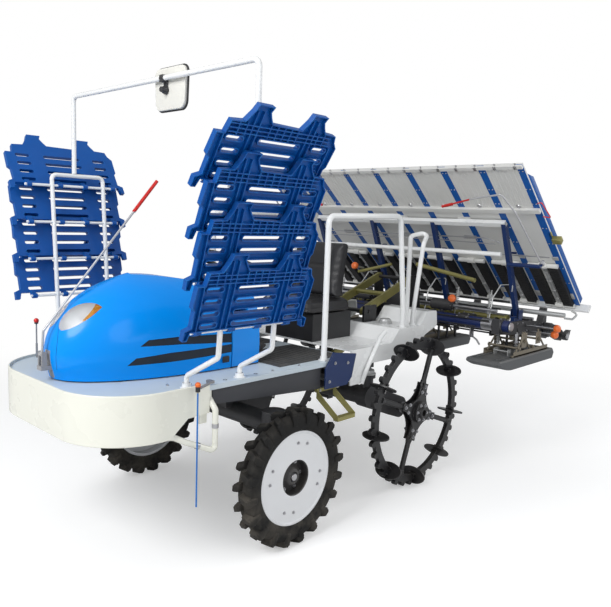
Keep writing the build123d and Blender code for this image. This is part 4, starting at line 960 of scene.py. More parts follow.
def body_details():
    bm = bmesh.new()            # rubber mats with raised edges
    for side in (1, -1):
        side_slab(bm, side, (0.262, 0.06, DECK_TOP + 0.0002), (0.72, 0.43, 0.8042), edge=0.0015)
        for row in range(13):
            x = 0.285 + row * 0.034
            side_slab(bm, side, (x, 0.09, 0.804), (x + 0.01, 0.4, 0.8065), edge=0.001, steps=1)
    piece(bm, "floor_mats", "chassis", "mat_rubber")
    bm = bmesh.new()            # drain holes and fixing bolts along the walkway
    for side in (1, -1):
        for x, y in ((1.245, 0.42), (1.08, 0.455), (0.9, 0.455)):
            turned(bm, [(0.0, 0.0055), (0.0006, 0.006), (0.0006, 0.0095), (0.0, 0.01)],
                   (x, side * y, DECK_TOP), UP, steps=20)
    piece(bm, "drain_eyelets", "chassis", "moulded_black")
    bm = bmesh.new()
    for side in (1, -1):
        for x, y in ((1.33, 0.38), (1.18, 0.462), (0.985, 0.462), (0.8, 0.462), (0.62, 0.462),
                     (0.44, 0.476), (0.29, 0.462)):
            hex_bolt(bm, (x, side * y, DECK_TOP), UP, 0.007)
        for x, z in ((0.3, 0.78), (0.4, 0.79), (0.44, 0.7)):
            hex_bolt(bm, (x, side * 0.506, z), (0, side, 0), 0.008)
        for x in (0.345, 0.48):
            hex_bolt(bm, (x, side * 0.48, 0.657), (0, side, 0), 0.007)
    piece(bm, "deck_bolts", "chassis", "bare_steel")
    bm = bmesh.new()            # band clamps round the guard pipe
    for side in (1, -1):
        drum(bm, (1.186, side * 0.522, 0.64), (1.186, side * 0.522, 0.622), 0.0148, sides=24)
        drum(bm, (1.262, side * 0.5094, 0.5545), (1.276, side * 0.507, 0.5609), 0.0148, sides=24)
    piece(bm, "pipe_clamps", "chassis", "bare_steel")
    bm = bmesh.new()            # flat strap behind the guard pipe
    for side in (1, -1):
        side_slab(bm, side, (1.205, 0.484, 0.64), (1.245, 0.489, 0.7775), edge=0.001)
    piece(bm, "bumper_straps", "chassis", "bumper_cream")


body_details()


# ---- mirror ------------------------------------------------------------------
MIRROR_SPOT = Vector((1.14, 0.116, 2.062))
CAD_BAR_RADIUS = 0.008


def bevel(bm, edges, offset, segments):
    return bmesh.ops.bevel(bm, geom=list(edges), offset=offset, segments=segments, profile=0.5,
                           affect="EDGES", material=-1)


def mirror_plate(bm, back, front, half_width, half_height, corner, edge):
    """A plate across the machine with round corners, back and front measured along the travel."""
    verts = slab(bm, (back, MIRROR_SPOT.y - half_width, MIRROR_SPOT.z - half_height),
                 (front, MIRROR_SPOT.y + half_width, MIRROR_SPOT.z + half_height))
    short = {link for vert in verts for link in vert.link_edges
             if abs(link.verts[0].co.x - link.verts[1].co.x) > (front - back) / 2}
    done = bevel(bm, short, corner, 8)
    if edge:
        faces = set(done["faces"]) | {face for vert in done["verts"] for face in vert.link_faces}
        bevel(bm, {link for face in faces if abs(face.normal.x) > 0.9 for link in face.edges}, edge, 3)
    for vert in bm.verts:               # the plate narrows a little downwards
        down = (MIRROR_SPOT.z + half_height - vert.co.z) / (2 * half_height)
        vert.co.y = MIRROR_SPOT.y + (vert.co.y - MIRROR_SPOT.y) * (1 - 0.08 * down)


def mirror_details():
    low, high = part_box("mirror_bar")
    bar_x = (low.x + high.x) / 2
    reach = (high.y - low.y) / 2 - CAD_BAR_RADIUS
    top = high.z - CAD_BAR_RADIUS
    bm = bmesh.new()            # the bar over the racks, a stout painted tube
    bent_rod(bm, [(bar_x, -reach, low.z), (bar_x, -reach, top), (bar_x, reach, top), (bar_x, reach, low.z)],
             0.0118, 0.03, sides=18)
    tube = piece(bm, "mirror_tube", "chassis", "white_paint")
    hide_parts("mirror_bar")
    bm = bmesh.new()            # shell behind the bar
    mirror_plate(bm, 1.132, 1.147, 0.116, 0.092, 0.036, 0.004)
    shell = piece(bm, "mirror_back", "chassis", "mirror_shell")
    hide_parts("rear_view_mirror")
    bm = bmesh.new()            # dark rim
    mirror_plate(bm, 1.127, 1.1345, 0.122, 0.098, 0.04, 0.002)
    piece(bm, "mirror_rim", "chassis", "moulded_black")
    bm = bmesh.new()            # glass on the side that faces the driver
    mirror_plate(bm, 1.126, 1.1273, 0.112, 0.088, 0.034, 0)
    piece(bm, "mirror_glass", "chassis", "mirror_glass")
    bm = bmesh.new()            # clamp on the bar with its ball joint and bolts
    slab(bm, (1.1465, 0.08, 2.087), (1.179, 0.108, 2.119), edge=0.003)
    slab(bm, (1.1465, 0.082, 2.046), (1.156, 0.106, 2.092), edge=0.002)
    turned(bm, [(0.0, 0.001), (0.0, 0.017), (0.008, 0.019), (0.02, 0.015), (0.026, 0.012), (0.032, 0.012),
                (0.033, 0.001)], (1.1465, 0.094, 2.056), (1, 0, 0), steps=28)
    for y in (0.087, 0.101):
        hex_bolt(bm, (1.179, y, 2.103), (1, 0, 0), 0.005)
    piece(bm, "mirror_clamp", "chassis", "cast_grey")


mirror_details()


# ---- seedling table: rollers, stays, clips and rods --------------------------
TABLE_TOP = Vector((-0.49, 0, 1.84))
TABLE_DOWN = Vector((-0.99, 0, -0.83)).normalized()
TABLE_UNDER = Vector((-TABLE_DOWN.z, 0, TABLE_DOWN.x))
TABLE_LENGTH = 1.2919
LANE = 0.25
LANE_EDGES = [-1.0 + LANE * step for step in range(9)]
LANE_CENTRES = [edge + LANE / 2 for edge in LANE_EDGES[:-1]]
BELT_SHIFTS = (-0.062, 0.062)          # of a lane's two belts from its middle
STRIP_LIMIT = 0.9775                   # how far out the middle of an outer strip lies
CASES = (-0.75, -0.25, 0.25, 0.75)     # y of the planting cases, which stand under the posts


def on_table(across, up, under):
    """A point across the machine, up the table's slope (down is negative) and out of its underside."""
    return TABLE_TOP + Vector((0, across, 0)) - TABLE_DOWN * up + TABLE_UNDER * under


def table_slab(bm, across, up, under, size, edge=0.001, steps=2):
    """A block on the table: size across, along the slope and out of the underside."""
    low = Vector((-size[0] / 2, -size[1] / 2, 0))
    high = Vector((size[0] / 2, size[1] / 2, size[2]))
    verts = slab(bm, low, high, edge, steps)
    turn = Matrix((Vector((0, 1, 0)), -TABLE_DOWN, TABLE_UNDER)).transposed().to_4x4()
    bmesh.ops.transform(bm, matrix=Matrix.Translation(on_table(across, up, under)) @ turn, verts=verts)
    return verts


def within(value, limit):
    return max(-limit, min(limit, value))


def cross_bar(bm, y, half, x, z, radius, sides=20):
    """A round bar across the machine."""
    drum(bm, (x, y - half, z), (x, y + half, z), radius, sides=sides)


def table_pieces():
    bm = bmesh.new()            # pale rollers that the belts run over
    for centre in LANE_CENTRES:
        for up in (-0.862, -1.283):
            for across, half, radius, sides in ((centre + BELT_SHIFTS[0], 0.034, 0.0145, 20),
                                                (centre + BELT_SHIFTS[1], 0.034, 0.0145, 20),
                                                (centre, 0.026, 0.019, 24)):
                spot = on_table(across, up, 0.016)
                cross_bar(bm, spot.y, half, spot.x, spot.z, radius, sides)
    piece(bm, "belt_rollers", "table", "nylon_white")
    bm = bmesh.new()            # stays between the belts of each lane, and their feet
    for centre in LANE_CENTRES:
        table_slab(bm, centre, -1.075, 0.0005, (0.022, 0.405, 0.01), edge=0.002)
        for up in (-0.93, -1.03, -1.13, -1.22):
            table_slab(bm, centre, up, 0.01, (0.03, 0.018, 0.01), edge=0.002)
    for edge in LANE_EDGES:
        across = within(edge, 0.968)
        table_slab(bm, across, -1.19, 0.0002, (0.04, 0.055, 0.006))
        table_slab(bm, across, -0.8, 0.0002, (0.04, 0.03, 0.005))
    piece(bm, "belt_stays", "table", "galvanised")
    bm = bmesh.new()            # cleats on the belts
    for centre in LANE_CENTRES:
        for shift in BELT_SHIFTS:
            for step in range(19):
                table_slab(bm, centre + shift, -0.892 - step * 0.02, 0.0279,
                           (0.058, 0.007, 0.0035), 0.0012, 1)
    piece(bm, "belt_cleats", "table", "belt_rubber")
    bm = bmesh.new()            # clips along the folded top edge and studs in the middle of each lane
    for step in range(-8, 9):
        across = step * 0.12
        table_slab(bm, across, -0.01, 0.0118, (0.018, 0.024, 0.0035))
        drum(bm, on_table(across, -0.001, 0.001), on_table(across, 0.01, 0.001), 0.0045, sides=12)
    for centre in LANE_CENTRES:
        spot = on_table(centre, -0.332, 0.0)
        drum(bm, spot, spot + TABLE_UNDER * 0.004, 0.015, 0.013)
    piece(bm, "table_clips", "table", "bare_steel")
    bm = bmesh.new()            # rivets in the blue strips
    for edge in LANE_EDGES:
        for up in (-0.05, -0.19, -0.31, -0.52, -0.66, -0.9, -1.05):
            for shift in (-0.011, 0.011):
                ball(bm, on_table(within(edge, STRIP_LIMIT) + shift, up, -0.0002), 0.0045, steps=4)
    piece(bm, "strip_rivets", "table", "bare_steel")
    bm = bmesh.new()            # rods and springs across the planting unit behind the upper rail
    for runs, radius in ((((-0.74, -0.56, 0.06), (0.6, -0.56, 0.06), (0.7, -0.585, 0.07)), 0.004),
                         (((-0.7, -0.585, 0.075), (0.2, -0.58, 0.075), (0.66, -0.61, 0.066)), 0.003),
                         (((-0.72, -0.7, 0.07), (0.98, -0.705, 0.07)), 0.0035)):
        bent_rod(bm, [on_table(*spot) for spot in runs], radius, 0.03)
    for y in (-0.5, 0.0, 0.5):
        ends = (on_table(y + shift, -0.56, 0.06) for shift in (-0.045, 0.045))
        coil_spring(bm, *ends, 0.0095, 0.0018, 12)
    piece(bm, "cross_rods", "planting_unit", "bare_steel")
    bm = bmesh.new()            # hangers that hold the rods to the posts
    for y in CASES:
        for up in (-0.56, -0.7):
            spot = on_table(y, up, 0.056)
            cross_bar(bm, y, 0.016, spot.x, spot.z, 0.007, 12)
    piece(bm, "rod_hangers", "planting_unit", "navy_paint")


table_pieces()


# ---- planting unit: beams, knobs, tubes and brackets -------------------------
BEAM = (-0.865, 0.9)                   # x and z of the planting beam's middle


def planting_details():
    bm = bmesh.new()            # long round tube behind the table's lower edge, with cranked ends
    cross_bar(bm, 0, 1.03, -1.165, 0.972, 0.0155, 24)
    for side in (1, -1):
        bent_rod(bm, [(-1.165, side * y, z) for y, z in
                      ((1.028, 0.955), (1.08, 0.955), (1.108, 0.99), (1.07, 1.007))], 0.0065, 0.012)
    piece(bm, "guide_tube", "planting_unit", "galvanised")
    bm = bmesh.new()
    for side in (1, -1):
        x, z = BEAM
        drum(bm, (x, side * 0.64, z), (x, side * 0.725, z), 0.0375, sides=32)
        drum(bm, (x, side * 0.826, z), (x, side * 0.832, z), 0.03, 0.026, sides=32)
    piece(bm, "beam_sleeves", "planting_unit", "bare_steel")
    bm = bmesh.new()            # round adjusting knobs
    for spot, way in (((-0.76, 0.47, 1.045), (1, 0.2, 0.3)), ((-0.76, -0.33, 1.195), (1, 0, 0.2)),
                      ((-1.235, 0.945, 0.832), (0.4, 1, 0)), ((-1.18, 0.98, 0.88), (0.2, 1, 0.2)),
                      ((-1.235, -0.945, 0.832), (0.4, -1, 0))):
        turned(bm, [(-0.014, 0.001), (-0.014, 0.012), (-0.008, 0.022), (0.004, 0.026), (0.016, 0.023),
                    (0.023, 0.014), (0.025, 0.001)], spot, way, steps=24)
    piece(bm, "adjusting_knobs", "planting_unit", "knob_orange")
    bm = bmesh.new()            # their stems and the small shafts
    drum(bm, (-0.855, 0.451, 1.017), (-0.77, 0.468, 1.042), 0.007)
    drum(bm, (-0.855, -0.33, 1.176), (-0.772, -0.33, 1.193), 0.007)
    drum(bm, (-1.242, 0.776, 0.832), (-1.24, 0.934, 0.832), 0.008)
    drum(bm, (-1.185, 0.776, 0.876), (-1.182, 0.97, 0.878), 0.008)
    drum(bm, (-1.242, -0.776, 0.832), (-1.24, -0.934, 0.832), 0.008)
    cross_bar(bm, 0, 0.77, -1.3, 0.905, 0.011)
    piece(bm, "cross_shafts", "planting_unit", "bare_steel")
    bm = bmesh.new()            # olive tubes: drive shaft covers between the cases
    for middle, half in ((-0.5, 0.22), (0, 0.22), (0.5, 0.22)):
        cross_bar(bm, middle, half, -1.02, 0.925, 0.019)
        for end in (middle - half, middle + half):
            cross_bar(bm, end, 0.008, -1.02, 0.925, 0.026)
    bent_rod(bm, [(-0.85, -0.369, 1.148), (-0.85, -0.081, 1.221)], 0.011)
    bent_rod(bm, [(-0.85, 0.129, 1.236), (-0.85, 0.571, 1.165)], 0.014)
    piece(bm, "drive_tubes", "planting_unit", "olive_zinc")
    bm = bmesh.new()
    for side in (1, -1):
        turn = Matrix((Vector((0, side, 0)), -TABLE_DOWN, TABLE_UNDER)).transposed().to_4x4()
        for low, high in (((1.002, -0.64, -0.0135), (1.055, -0.6, 0.02)),
                          ((0.985, -0.64, -0.0135), (1.003, -0.56, 0.0))):
            verts = slab(bm, low, high, edge=0.002)
            bmesh.ops.transform(bm, matrix=Matrix.Translation(TABLE_TOP) @ turn, verts=verts)
    piece(bm, "end_brackets", "table", "olive_zinc")
    bm = bmesh.new()            # wire guide at each end of the table
    for side in (1, -1):
        bent_rod(bm, [on_table(side * across, up, under) for across, up, under in
                      ((1.001, -0.3, 0.004), (1.03, -0.285, 0.01), (1.055, -0.4, 0.02),
                       (1.001, -0.412, 0.004))], 0.003, 0.01)
    piece(bm, "end_wires", "table", "grip_red")


planting_details()


# ---- planting cases, floats and rotors ---------------------------------------
ROTOR = (-1.56, 0.8)                   # x and z of the rotor shafts
ARM_REACH = 0.096
ARM_TURN = math.radians(20)
FLOATS = ((-0.788, 0.111), (0.0, 0.285), (0.788, 0.111))       # middle and half width


CASE_BOLTS = ((-0.93, 0.88), (-0.93, 0.93), (-1.06, 0.895), (-1.135, 0.895), (-1.32, 0.862),
              (-1.32, 0.815), (-1.44, 0.845), (-1.44, 0.8), (-1.2, 0.84))
CASE_COVERS = ((ROTOR, [(0, 0.0165), (0.005, 0.0165), (0.005, 0.034), (0.003, 0.038), (0, 0.039)]),
               ((-1.091, 0.868), [(0, 0.001), (0.004, 0.001), (0.004, 0.028), (0, 0.03)]),
               (BEAM, [(0, 0.0365), (0.008, 0.0365), (0.008, 0.048), (0, 0.05)]))


def case_details():
    bm = bmesh.new()            # bolts on the chain cases
    for y in CASES:
        for side in (1, -1):
            for x, z in CASE_BOLTS:
                hex_bolt(bm, (x, y + side * 0.024, z), (0, side, 0), 0.007)
    piece(bm, "case_bolts", "planting_unit", "bare_steel")
    bm = bmesh.new()            # their round covers, and seedling guide plates under the table's edge
    for y in CASES:
        for side in (1, -1):
            for (x, z), profile in CASE_COVERS:
                turned(bm, profile, (x, y + side * 0.024, z), (0, side, 0), steps=32)
        slab(bm, (-1.235, y - 0.034, 0.9), (-1.205, y + 0.034, 0.912), edge=0.002)
    piece(bm, "case_covers", "planting_unit", "cast_grey")
    bm = bmesh.new()            # float hinges with their pins
    for y, _ in FLOATS:
        for x in (-1.12, -0.85):
            for plate in (y - 0.045, y + 0.045):
                slab(bm, (x - 0.02, plate - 0.003, 0.7245), (x + 0.02, plate + 0.003, 0.762), edge=0.0015)
            cross_bar(bm, y, 0.055, x, 0.748, 0.005, 12)
    piece(bm, "float_hinges", "planting_unit", "galvanised")
    bm = bmesh.new()            # raised ribs on the floats
    for y, half in FLOATS:
        wide = half > 0.2
        for shift in ((-0.75, -0.4, 0.4, 0.75) if wide else (-0.6, 0.6)):
            rib = y + shift * half
            slab(bm, (-1.33, rib - 0.01, 0.724), (-0.74 if wide else -0.64, rib + 0.01, 0.73), edge=0.002)
    piece(bm, "float_ribs", "planting_unit", "float_grey")
    for number, y in enumerate(CASES, 1):
        bm = bmesh.new()        # covers and bolts on each rotor's cases
        for side in (1, -1):
            out = (0, side, 0)
            for end in (1, -1):
                spot = around(Vector((ROTOR[0], y + side * 0.119, ROTOR[1])), ARM_TURN, end * ARM_REACH)
                turned(bm, [(0, 0.001), (0.006, 0.001), (0.006, 0.018), (0, 0.02)], spot, out, steps=24)
                for turn in range(0, 360, 120):
                    hex_bolt(bm, around(spot, math.radians(turn), 0.026), out, 0.0045)
            for turn in range(65, 425, 90):
                middle = Vector((ROTOR[0], y + side * 0.074, ROTOR[1]))
                hex_bolt(bm, around(middle, math.radians(turn), 0.03), out, 0.005)
        piece(bm, f"rotor_covers_{number}", f"rotor_{number}", "bare_steel")


case_details()


# ---- lane walls and strips ---------------------------------------------------
WALL_START = 0.085                     # below the table's top edge


def lane_walls():
    """The walls between the lanes, which start below the table's top edge, and the strips under them."""
    bm = bmesh.new()
    for edge in LANE_EDGES:
        wall = table_slab(bm, within(edge, 0.995), (-WALL_START - TABLE_LENGTH) / 2, -0.0582,
                          (0.01, TABLE_LENGTH - WALL_START, 0.044), edge=0.003)
        for vert in wall:               # the front ends slope down to the sheet
            off = vert.co - TABLE_TOP
            if off.dot(-TABLE_DOWN) > -0.1 and off.dot(TABLE_UNDER) < -0.04:
                vert.co += TABLE_DOWN * 0.06
        table_slab(bm, within(edge, STRIP_LIMIT), -TABLE_LENGTH / 2, -0.004,
                   (0.045, TABLE_LENGTH, 0.004), 0.0006, 1)
    walls = piece(bm, "lane_walls", "table", "divider_blue")
    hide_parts("table_dividers")


lane_walls()


# ---- skirts, tubes and fittings under and behind the deck --------------------
def foot_profile(plate, root, height, neck):
    """A tube's foot: a thin plate with a collar, by their radii and the collar's height."""
    return [(0, 0.0155), (0, plate), (0.004, plate), (0.005, root), (height, neck), (height, 0.0155)]


def deck_fittings():
    bm = bmesh.new()            # skirts that hang from the deck's edge above the front wheels
    for side in (1, -1):
        for vert in side_slab(bm, side, (0.475, 0.47, 0.664), (1.165, 0.4765, 0.7775), edge=0.002):
            if vert.co.z < 0.7:
                vert.co.z += 0.045 * max(0.0, (vert.co.x - 1.05) / 0.115)
    piece(bm, "deck_skirts", "chassis", "skirt_grey")
    bm = bmesh.new()            # brackets and stiffeners behind the skirts
    for side in (1, -1):
        for x in (0.56, 0.9, 1.12):
            side_slab(bm, side, (x, 0.2, 0.735), (x + 0.03, 0.4695, 0.7775), edge=0.003)
    piece(bm, "deck_stiffeners", "chassis", "black_paint")
    bm = bmesh.new()            # white tube from the rear deck down to the final drive
    for side in (1, -1):
        bent_rod(bm, [(x, side * y, z) for x, y, z in ((-0.03, 0.492, 0.908), (0.01, 0.492, 0.88),
                                                       (0.132, 0.492, 0.7), (0.15, 0.484, 0.64))],
                 0.0125, 0.04, sides=14)
    piece(bm, "deck_tubes", "chassis", "white_paint")
    bm = bmesh.new()            # filler cap, breather and deck cap
    turned(bm, [(0, 0.001), (0, 0.04), (0.01, 0.04), (0.014, 0.036), (0.02, 0.036), (0.03, 0.03),
                (0.032, 0.001)], (-0.29, 0.3, 0.905), UP, steps=32)
    for side in (1, -1):
        turned(bm, [(0, 0.001), (0, 0.047), (0.006, 0.047), (0.01, 0.04), (0.024, 0.038), (0.028, 0.03),
                    (0.03, 0.001)], (0.03, side * 0.43, 0.667), UP, steps=32)
    piece(bm, "filler_caps", "chassis", "galvanised")
    bm = bmesh.new()            # feet of the handrails and rack legs
    for side in (1, -1):
        for x, y in ((0.43, 0.452), (1.0, 0.458), (1.29, 0.458)):
            turned(bm, foot_profile(0.027, 0.0195, 0.02, 0.0185), (x, side * y, DECK_TOP + 0.0005), UP,
                   steps=24)
        for x, y in ((-0.25, 0.452), (-0.32, 0.43), (-0.37, 0.44)):
            turned(bm, foot_profile(0.026, 0.0185, 0.018, 0.018), (x, side * y, 0.9055), UP, steps=24)
    piece(bm, "rail_feet", "chassis", "white_paint")
    bm = bmesh.new()            # collars under the knobs of the edge markers
    for x, y, z in ((1.309, 0.56, 0.82), (1.505, -0.452, 0.966)):
        turned(bm, [(0, 0.004), (0, 0.009), (0.01, 0.01), (0.01, 0.004)], (x, y, z), UP, steps=16)
    turned(bm, [(0, 0.004), (0, 0.01), (0.02, 0.01), (0.02, 0.004)], (1.309, 0.56, 0.806), UP, steps=16)
    piece(bm, "marker_collars", "chassis", "moulded_black")
    bm = bmesh.new()            # side latches of the bonnet
    for side in (1, -1):
        side_slab(bm, side, (0.935, 0.3065, 0.835), (0.975, 0.312, 0.865), edge=0.003)
    piece(bm, "bonnet_latches", "bonnet", "moulded_black")


deck_fittings()


# ---- machinery behind the driver ---------------------------------------------
GEARS = (-0.5, 0.0, 0.5)               # y of the gear housings
CLUTCHES = (-0.33, 0.33)               # y of the clutch drums
CLUTCH = (-0.88, 0.985)                # x and z of their shaft


def rear_machinery():
    bm = bmesh.new()            # gear housings on the frame beam, and clutch drums over it
    for y in GEARS:
        slab(bm, (-0.955, y - 0.05, 0.858), (-0.835, y + 0.05, 0.942), edge=0.014, steps=3)
        slab(bm, (-0.985, y - 0.03, 0.87), (-0.95, y + 0.03, 0.93), edge=0.008, steps=3)
    slab(bm, (-0.915, -0.105, 0.935), (-0.835, 0.105, 1.04), edge=0.016, steps=3)
    x, z = CLUTCH
    for y in CLUTCHES:
        cross_bar(bm, y, 0.075, x, z, 0.036, 28)
        cross_bar(bm, y, 0.082, x, z, 0.026, 28)
        slab(bm, (x - 0.015, y - 0.012, 0.935), (x + 0.015, y + 0.012, 0.96), edge=0.003)
    piece(bm, "gear_housings", "planting_unit", "cast_grey")
    bm = bmesh.new()            # fasteners on them
    for y in GEARS:
        for along_x in (-0.032, 0.032):
            for across in (-0.034, 0.034):
                hex_bolt(bm, (-0.895 + along_x, y + across, 0.942), UP, 0.007)
                hex_bolt(bm, (-0.835, y + across, 0.9 + along_x * 0.8), (1, 0, 0), 0.007)
    for y in CLUTCHES:
        for turn in range(0, 360, 90):
            for end in (1, -1):
                middle = Vector((x, y + end * 0.075, z))
                hex_bolt(bm, around(middle, math.radians(turn), 0.031), (0, end, 0), 0.004)
    for y, half in ((0, 0.245), (0.565, 0.155), (-0.565, 0.155)):
        cross_bar(bm, y, half, x, z, 0.01)
    piece(bm, "gear_fasteners", "planting_unit", "bare_steel")
    bm = bmesh.new()            # springs and pull rods of the floats and of the table
    for y in (-0.62, -0.12, 0.38, 0.62):
        coil_spring(bm, (-0.96, y, 0.948), (-0.985, y, 1.075), 0.013, 0.0024, 13)
        bent_rod(bm, [(-0.985, y, 1.072), (-0.99, y, 1.1)], 0.003)
        bent_rod(bm, [(-0.958, y, 0.95), (-0.952, y, 0.915)], 0.003)
    for y in (-0.4, 0.18, 0.66):
        bent_rod(bm, [(-0.9, y, 0.936), (-0.93, y, 1.06), (-0.985, y + 0.02, 1.14)], 0.004, 0.02)
        bent_rod(bm, [(-0.985, y + 0.02, 1.14), (-0.985, y + 0.1, 1.15), (-0.98, y + 0.1, 1.105)],
                 0.003, 0.01)
    piece(bm, "pull_springs", "planting_unit", "galvanised")
    bm = bmesh.new()            # rigid pipes that follow the beam
    bent_rod(bm, [(-0.82, -0.7, 0.925), (-0.82, -0.16, 0.925), (-0.805, -0.12, 0.95),
                  (-0.8, 0.12, 0.95), (-0.82, 0.16, 0.925), (-0.82, 0.7, 0.925)], 0.005, 0.02)
    for x, z, right, left, radius in ((-0.818, 0.88, -0.7, 0.61, 0.004),
                                      (-0.99, 0.985, -0.69, 0.69, 0.006),
                                      (-1.045, 1.03, -0.72, 0.72, 0.007)):
        bent_rod(bm, [(x, right, z), (x, left, z)], radius)
    piece(bm, "beam_pipes", "planting_unit", "moulded_black")
    bm = bmesh.new()            # feet and side plates of the posts
    for y in CASES:
        slab(bm, (-1.125, y - 0.02, 0.912), (-1.06, y + 0.02, 0.924), edge=0.003)
        for side in (1, -1):
            near, far = sorted((y + side * 0.0245, y + side * 0.03))
            slab(bm, (-1.12, near, 0.925), (-1.062, far, 0.985), edge=0.002)
    piece(bm, "post_feet", "planting_unit", "navy_paint")


rear_machinery()


# ---- linkages under the planting beam ----------------------------------------
def float_linkages():
    """Height links, guards and stays between the planting beam and the floats."""
    bm = bmesh.new()            # pivot plates and links of the outer floats and the middle one
    for y in (-0.55, -0.12, 0.12, 0.55, -0.86, 0.86):
        slab(bm, (-0.912, y - 0.004, 0.795), (-0.866, y + 0.004, 0.862), edge=0.002)
        bent_rod(bm, [(-0.889, y, 0.806), (-0.96, y, 0.77), (-1.000, y, 0.735)], 0.006, 0.02)
        cross_bar(bm, y, 0.01, -0.889, 0.806, 0.011)
    piece(bm, "float_links", "planting_unit", "bare_steel")
    bm = bmesh.new()            # feed pipes that run along behind the beam
    for drop, back in ((0.845, -0.945), (0.828, -0.962)):
        bent_rod(bm, [(back, -0.7, drop), (back, 0.7, drop)], 0.0055)
    for y in (-0.66, -0.4, 0.0, 0.4, 0.66):
        slab(bm, (-0.975, y - 0.01, 0.815), (-0.93, y + 0.01, 0.862), edge=0.002)
    piece(bm, "beam_rails", "planting_unit", "cast_grey")
    bm = bmesh.new()            # carriers on the floats, with sloping stays and cross rods
    for middle, half in ((-0.788, 0.09), (0.788, 0.09), (0.0, 0.2)):
        for side in (1, -1):
            y = middle + side * half
            slab(bm, (-1.28, y - 0.01, 0.7255), (-0.8, y + 0.01, 0.738), edge=0.002)
            lip = y + side * 0.008
            slab(bm, (-1.28, lip - 0.002, 0.7255), (-0.8, lip + 0.002, 0.758), edge=0.001)
            for low_x, high_x in ((-0.83, -0.935), (-1.04, -0.96), (-1.25, -1.15)):
                bent_rod(bm, [(low_x, y, 0.745), (high_x, y, 0.835), (high_x + 0.01, y, 0.87)], 0.006, 0.015)
            slab(bm, (-0.985, y - 0.003, 0.77), (-0.915, y + 0.003, 0.862), edge=0.002)
            slab(bm, (-1.185, y - 0.003, 0.775), (-1.12, y + 0.003, 0.85), edge=0.002)
        for x, z in ((-0.87, 0.775), (-0.95, 0.812), (-1.06, 0.765), (-1.15, 0.805)):
            cross_bar(bm, middle, half + 0.018, x, z, 0.007, 14)
            for side in (1, -1):
                cross_bar(bm, middle + side * (half + 0.01), 0.003, x, z, 0.013, 16)
    piece(bm, "float_carriers", "planting_unit", "worn_steel")
    bm = bmesh.new()            # springs that hold the floats down
    for middle, half in ((-0.788, 0.062), (0.788, 0.062), (0.0, 0.15)):
        for side in (1, -1):
            y = middle + side * half
            coil_spring(bm, (-0.905, y, 0.742), (-0.905, y, 0.85), 0.012, 0.0022, 11)
            drum(bm, (-0.905, y, 0.73), (-0.905, y, 0.866), 0.004, sides=10)
    piece(bm, "float_springs", "planting_unit", "galvanised")


float_linkages()


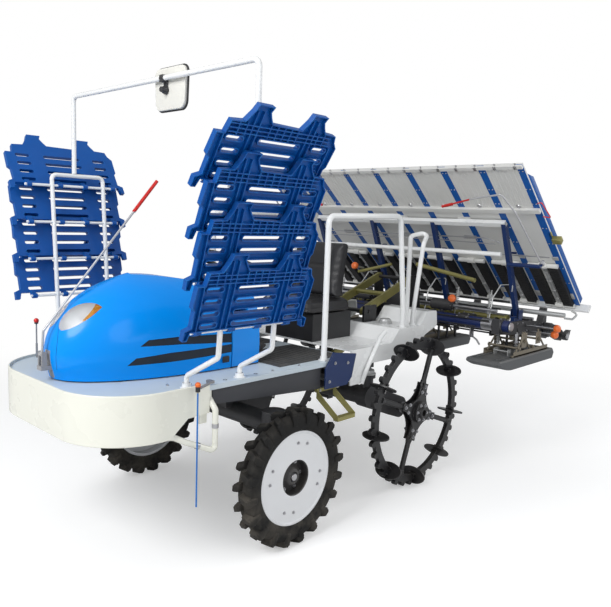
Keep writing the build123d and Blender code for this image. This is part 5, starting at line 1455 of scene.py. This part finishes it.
# ---- engine bay --------------------------------------------------------------
def engine_details():
    """What shows when the bonnet is up: covers, cleaner, silencer and cooling fins on the engine block."""
    low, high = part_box("engine_block")
    top, front, rear = high.z, high.x, low.x
    middle = (front + rear) / 2
    fan = Vector((front, 0, (low.z + top) / 2))
    bm = bmesh.new()            # head cover with its nuts and filler
    slab(bm, (middle - 0.11, -0.06, top), (middle + 0.11, 0.06, top + 0.012), edge=0.003)
    slab(bm, (middle - 0.1, -0.048, top + 0.01), (middle + 0.1, 0.048, top + 0.026), edge=0.009, steps=3)
    for dx in (-0.1, 0.0, 0.1):
        for dy in (-0.054, 0.054):
            hex_bolt(bm, (middle + dx, dy, top + 0.012), UP, 0.005)
    turned(bm, [(0, 0.001), (0, 0.018), (0.008, 0.018), (0.012, 0.014), (0.014, 0.001)],
           (middle + 0.06, 0, top + 0.0255), UP, steps=24)
    piece(bm, "head_cover", "chassis", "galvanised")
    bm = bmesh.new()            # air cleaner and silencer, each with its pipe
    for start, end, radius in ((-0.115, 0.045, 0.028), (-0.121, -0.09, 0.0295)):
        drum(bm, (middle + start, 0.125, top + 0.028), (middle + end, 0.125, top + 0.028), radius, sides=32)
    slab(bm, (middle - 0.12, -0.17, top), (middle + 0.04, -0.105, top + 0.045), edge=0.016, steps=4)
    for radius, runs in ((0.012, ((0.04, 0.125, 0.028), (0.09, 0.125, 0.028), (0.09, 0.07, 0.018))),
                         (0.011, ((0.036, -0.137, 0.022), (0.085, -0.137, 0.022), (0.085, -0.072, 0.016)))):
        bent_rod(bm, [(middle + dx, y, top + dz) for dx, y, dz in runs], radius, 0.02, sides=14)
    piece(bm, "cleaner_and_silencer", "chassis", "black_paint")
    bm = bmesh.new()            # cooling fins and the grille of the fan cowl
    for step in range(9):
        z = low.z + 0.035 + step * (top - low.z - 0.07) / 8
        for inner, outer in ((high.y - 0.001, high.y + 0.01), (low.y - 0.01, low.y + 0.001)):
            slab(bm, (rear + 0.03, inner, z - 0.002), (front - 0.03, outer, z + 0.002), edge=0.001, steps=1)
    for reach in (0.02, 0.036, 0.052, 0.068):
        turned(bm, [(0, reach), (0, reach + 0.004), (0.006, reach + 0.003), (0.006, reach + 0.001),
                    (0, reach)], fan, (1, 0, 0), steps=40)
    for turn in range(0, 180, 30):
        way = Vector((0, math.cos(math.radians(turn)), math.sin(math.radians(turn)))) * 0.07
        spot = fan + Vector((0.003, 0, 0))
        drum(bm, spot - way, spot + way, 0.0018, sides=8)
    piece(bm, "fins_and_grille", "chassis", "cast_grey")
    bm = bmesh.new()            # bolts on the block's front face and a dipstick
    for y in (-0.12, 0.12):
        for z in (low.z + 0.04, top - 0.04):
            hex_bolt(bm, (front, y, z), (1, 0, 0), 0.008)
    bent_rod(bm, [(middle - 0.085, y, top + dz) for y, dz in
                  ((0.078, 0.001), (0.078, 0.03), (0.09, 0.034), (0.09, 0.02))], 0.0022, 0.004, sides=8)
    piece(bm, "engine_fasteners", "chassis", "bare_steel")


engine_details()


# ---- seedling side of the table ----------------------------------------------
def table_face():
    """Ribs, feed belts and mat holders on the side of the table that carries the seedling mats."""
    bm = bmesh.new()            # shallow ribs that the mats slide on
    for centre in LANE_CENTRES:
        for offs, up, length in (((-0.096, -0.064, -0.032, 0.0, 0.032, 0.064, 0.096), -0.455, 0.76),
                                 ((-0.088, 0.0, 0.088), -1.055, 0.36)):
            for off in offs:
                table_slab(bm, centre + off, up, -0.0165, (0.007, length, 0.0026), 0.0012, 1)
    piece(bm, "mat_ribs", "table", "table_metal")
    bm = bmesh.new()            # belts that come through the sheet, with their cleats
    for centre in LANE_CENTRES:
        for off in (-0.044, 0.044):
            table_slab(bm, centre + off, -1.055, -0.0172, (0.052, 0.34, 0.0032), 0.001, 1)
            for step in range(12):
                table_slab(bm, centre + off, -0.9 - 0.0282 * step, -0.0212, (0.048, 0.004, 0.0042), 0.001, 1)
    piece(bm, "belt_faces", "table", "belt_rubber")
    bm = bmesh.new()            # wire mat holders that cross each lane near the foot
    for centre in LANE_CENTRES:
        for up in (-1.02, -1.16):
            bent_rod(bm, [on_table(centre + side * 0.1185, up, under) for side, under in
                          ((-1, -0.02), (-1, -0.047), (1, -0.047), (1, -0.02))], 0.0022, 0.01, sides=8)
        for off in (-0.06, 0.0, 0.06):
            bent_rod(bm, [on_table(centre + off, up, under) for up, under in
                          ((-1.015, -0.0495), (-1.215, -0.0495), (-1.235, -0.034))], 0.002, 0.01, sides=8)
    piece(bm, "mat_holders", "table", "galvanised")


table_face()
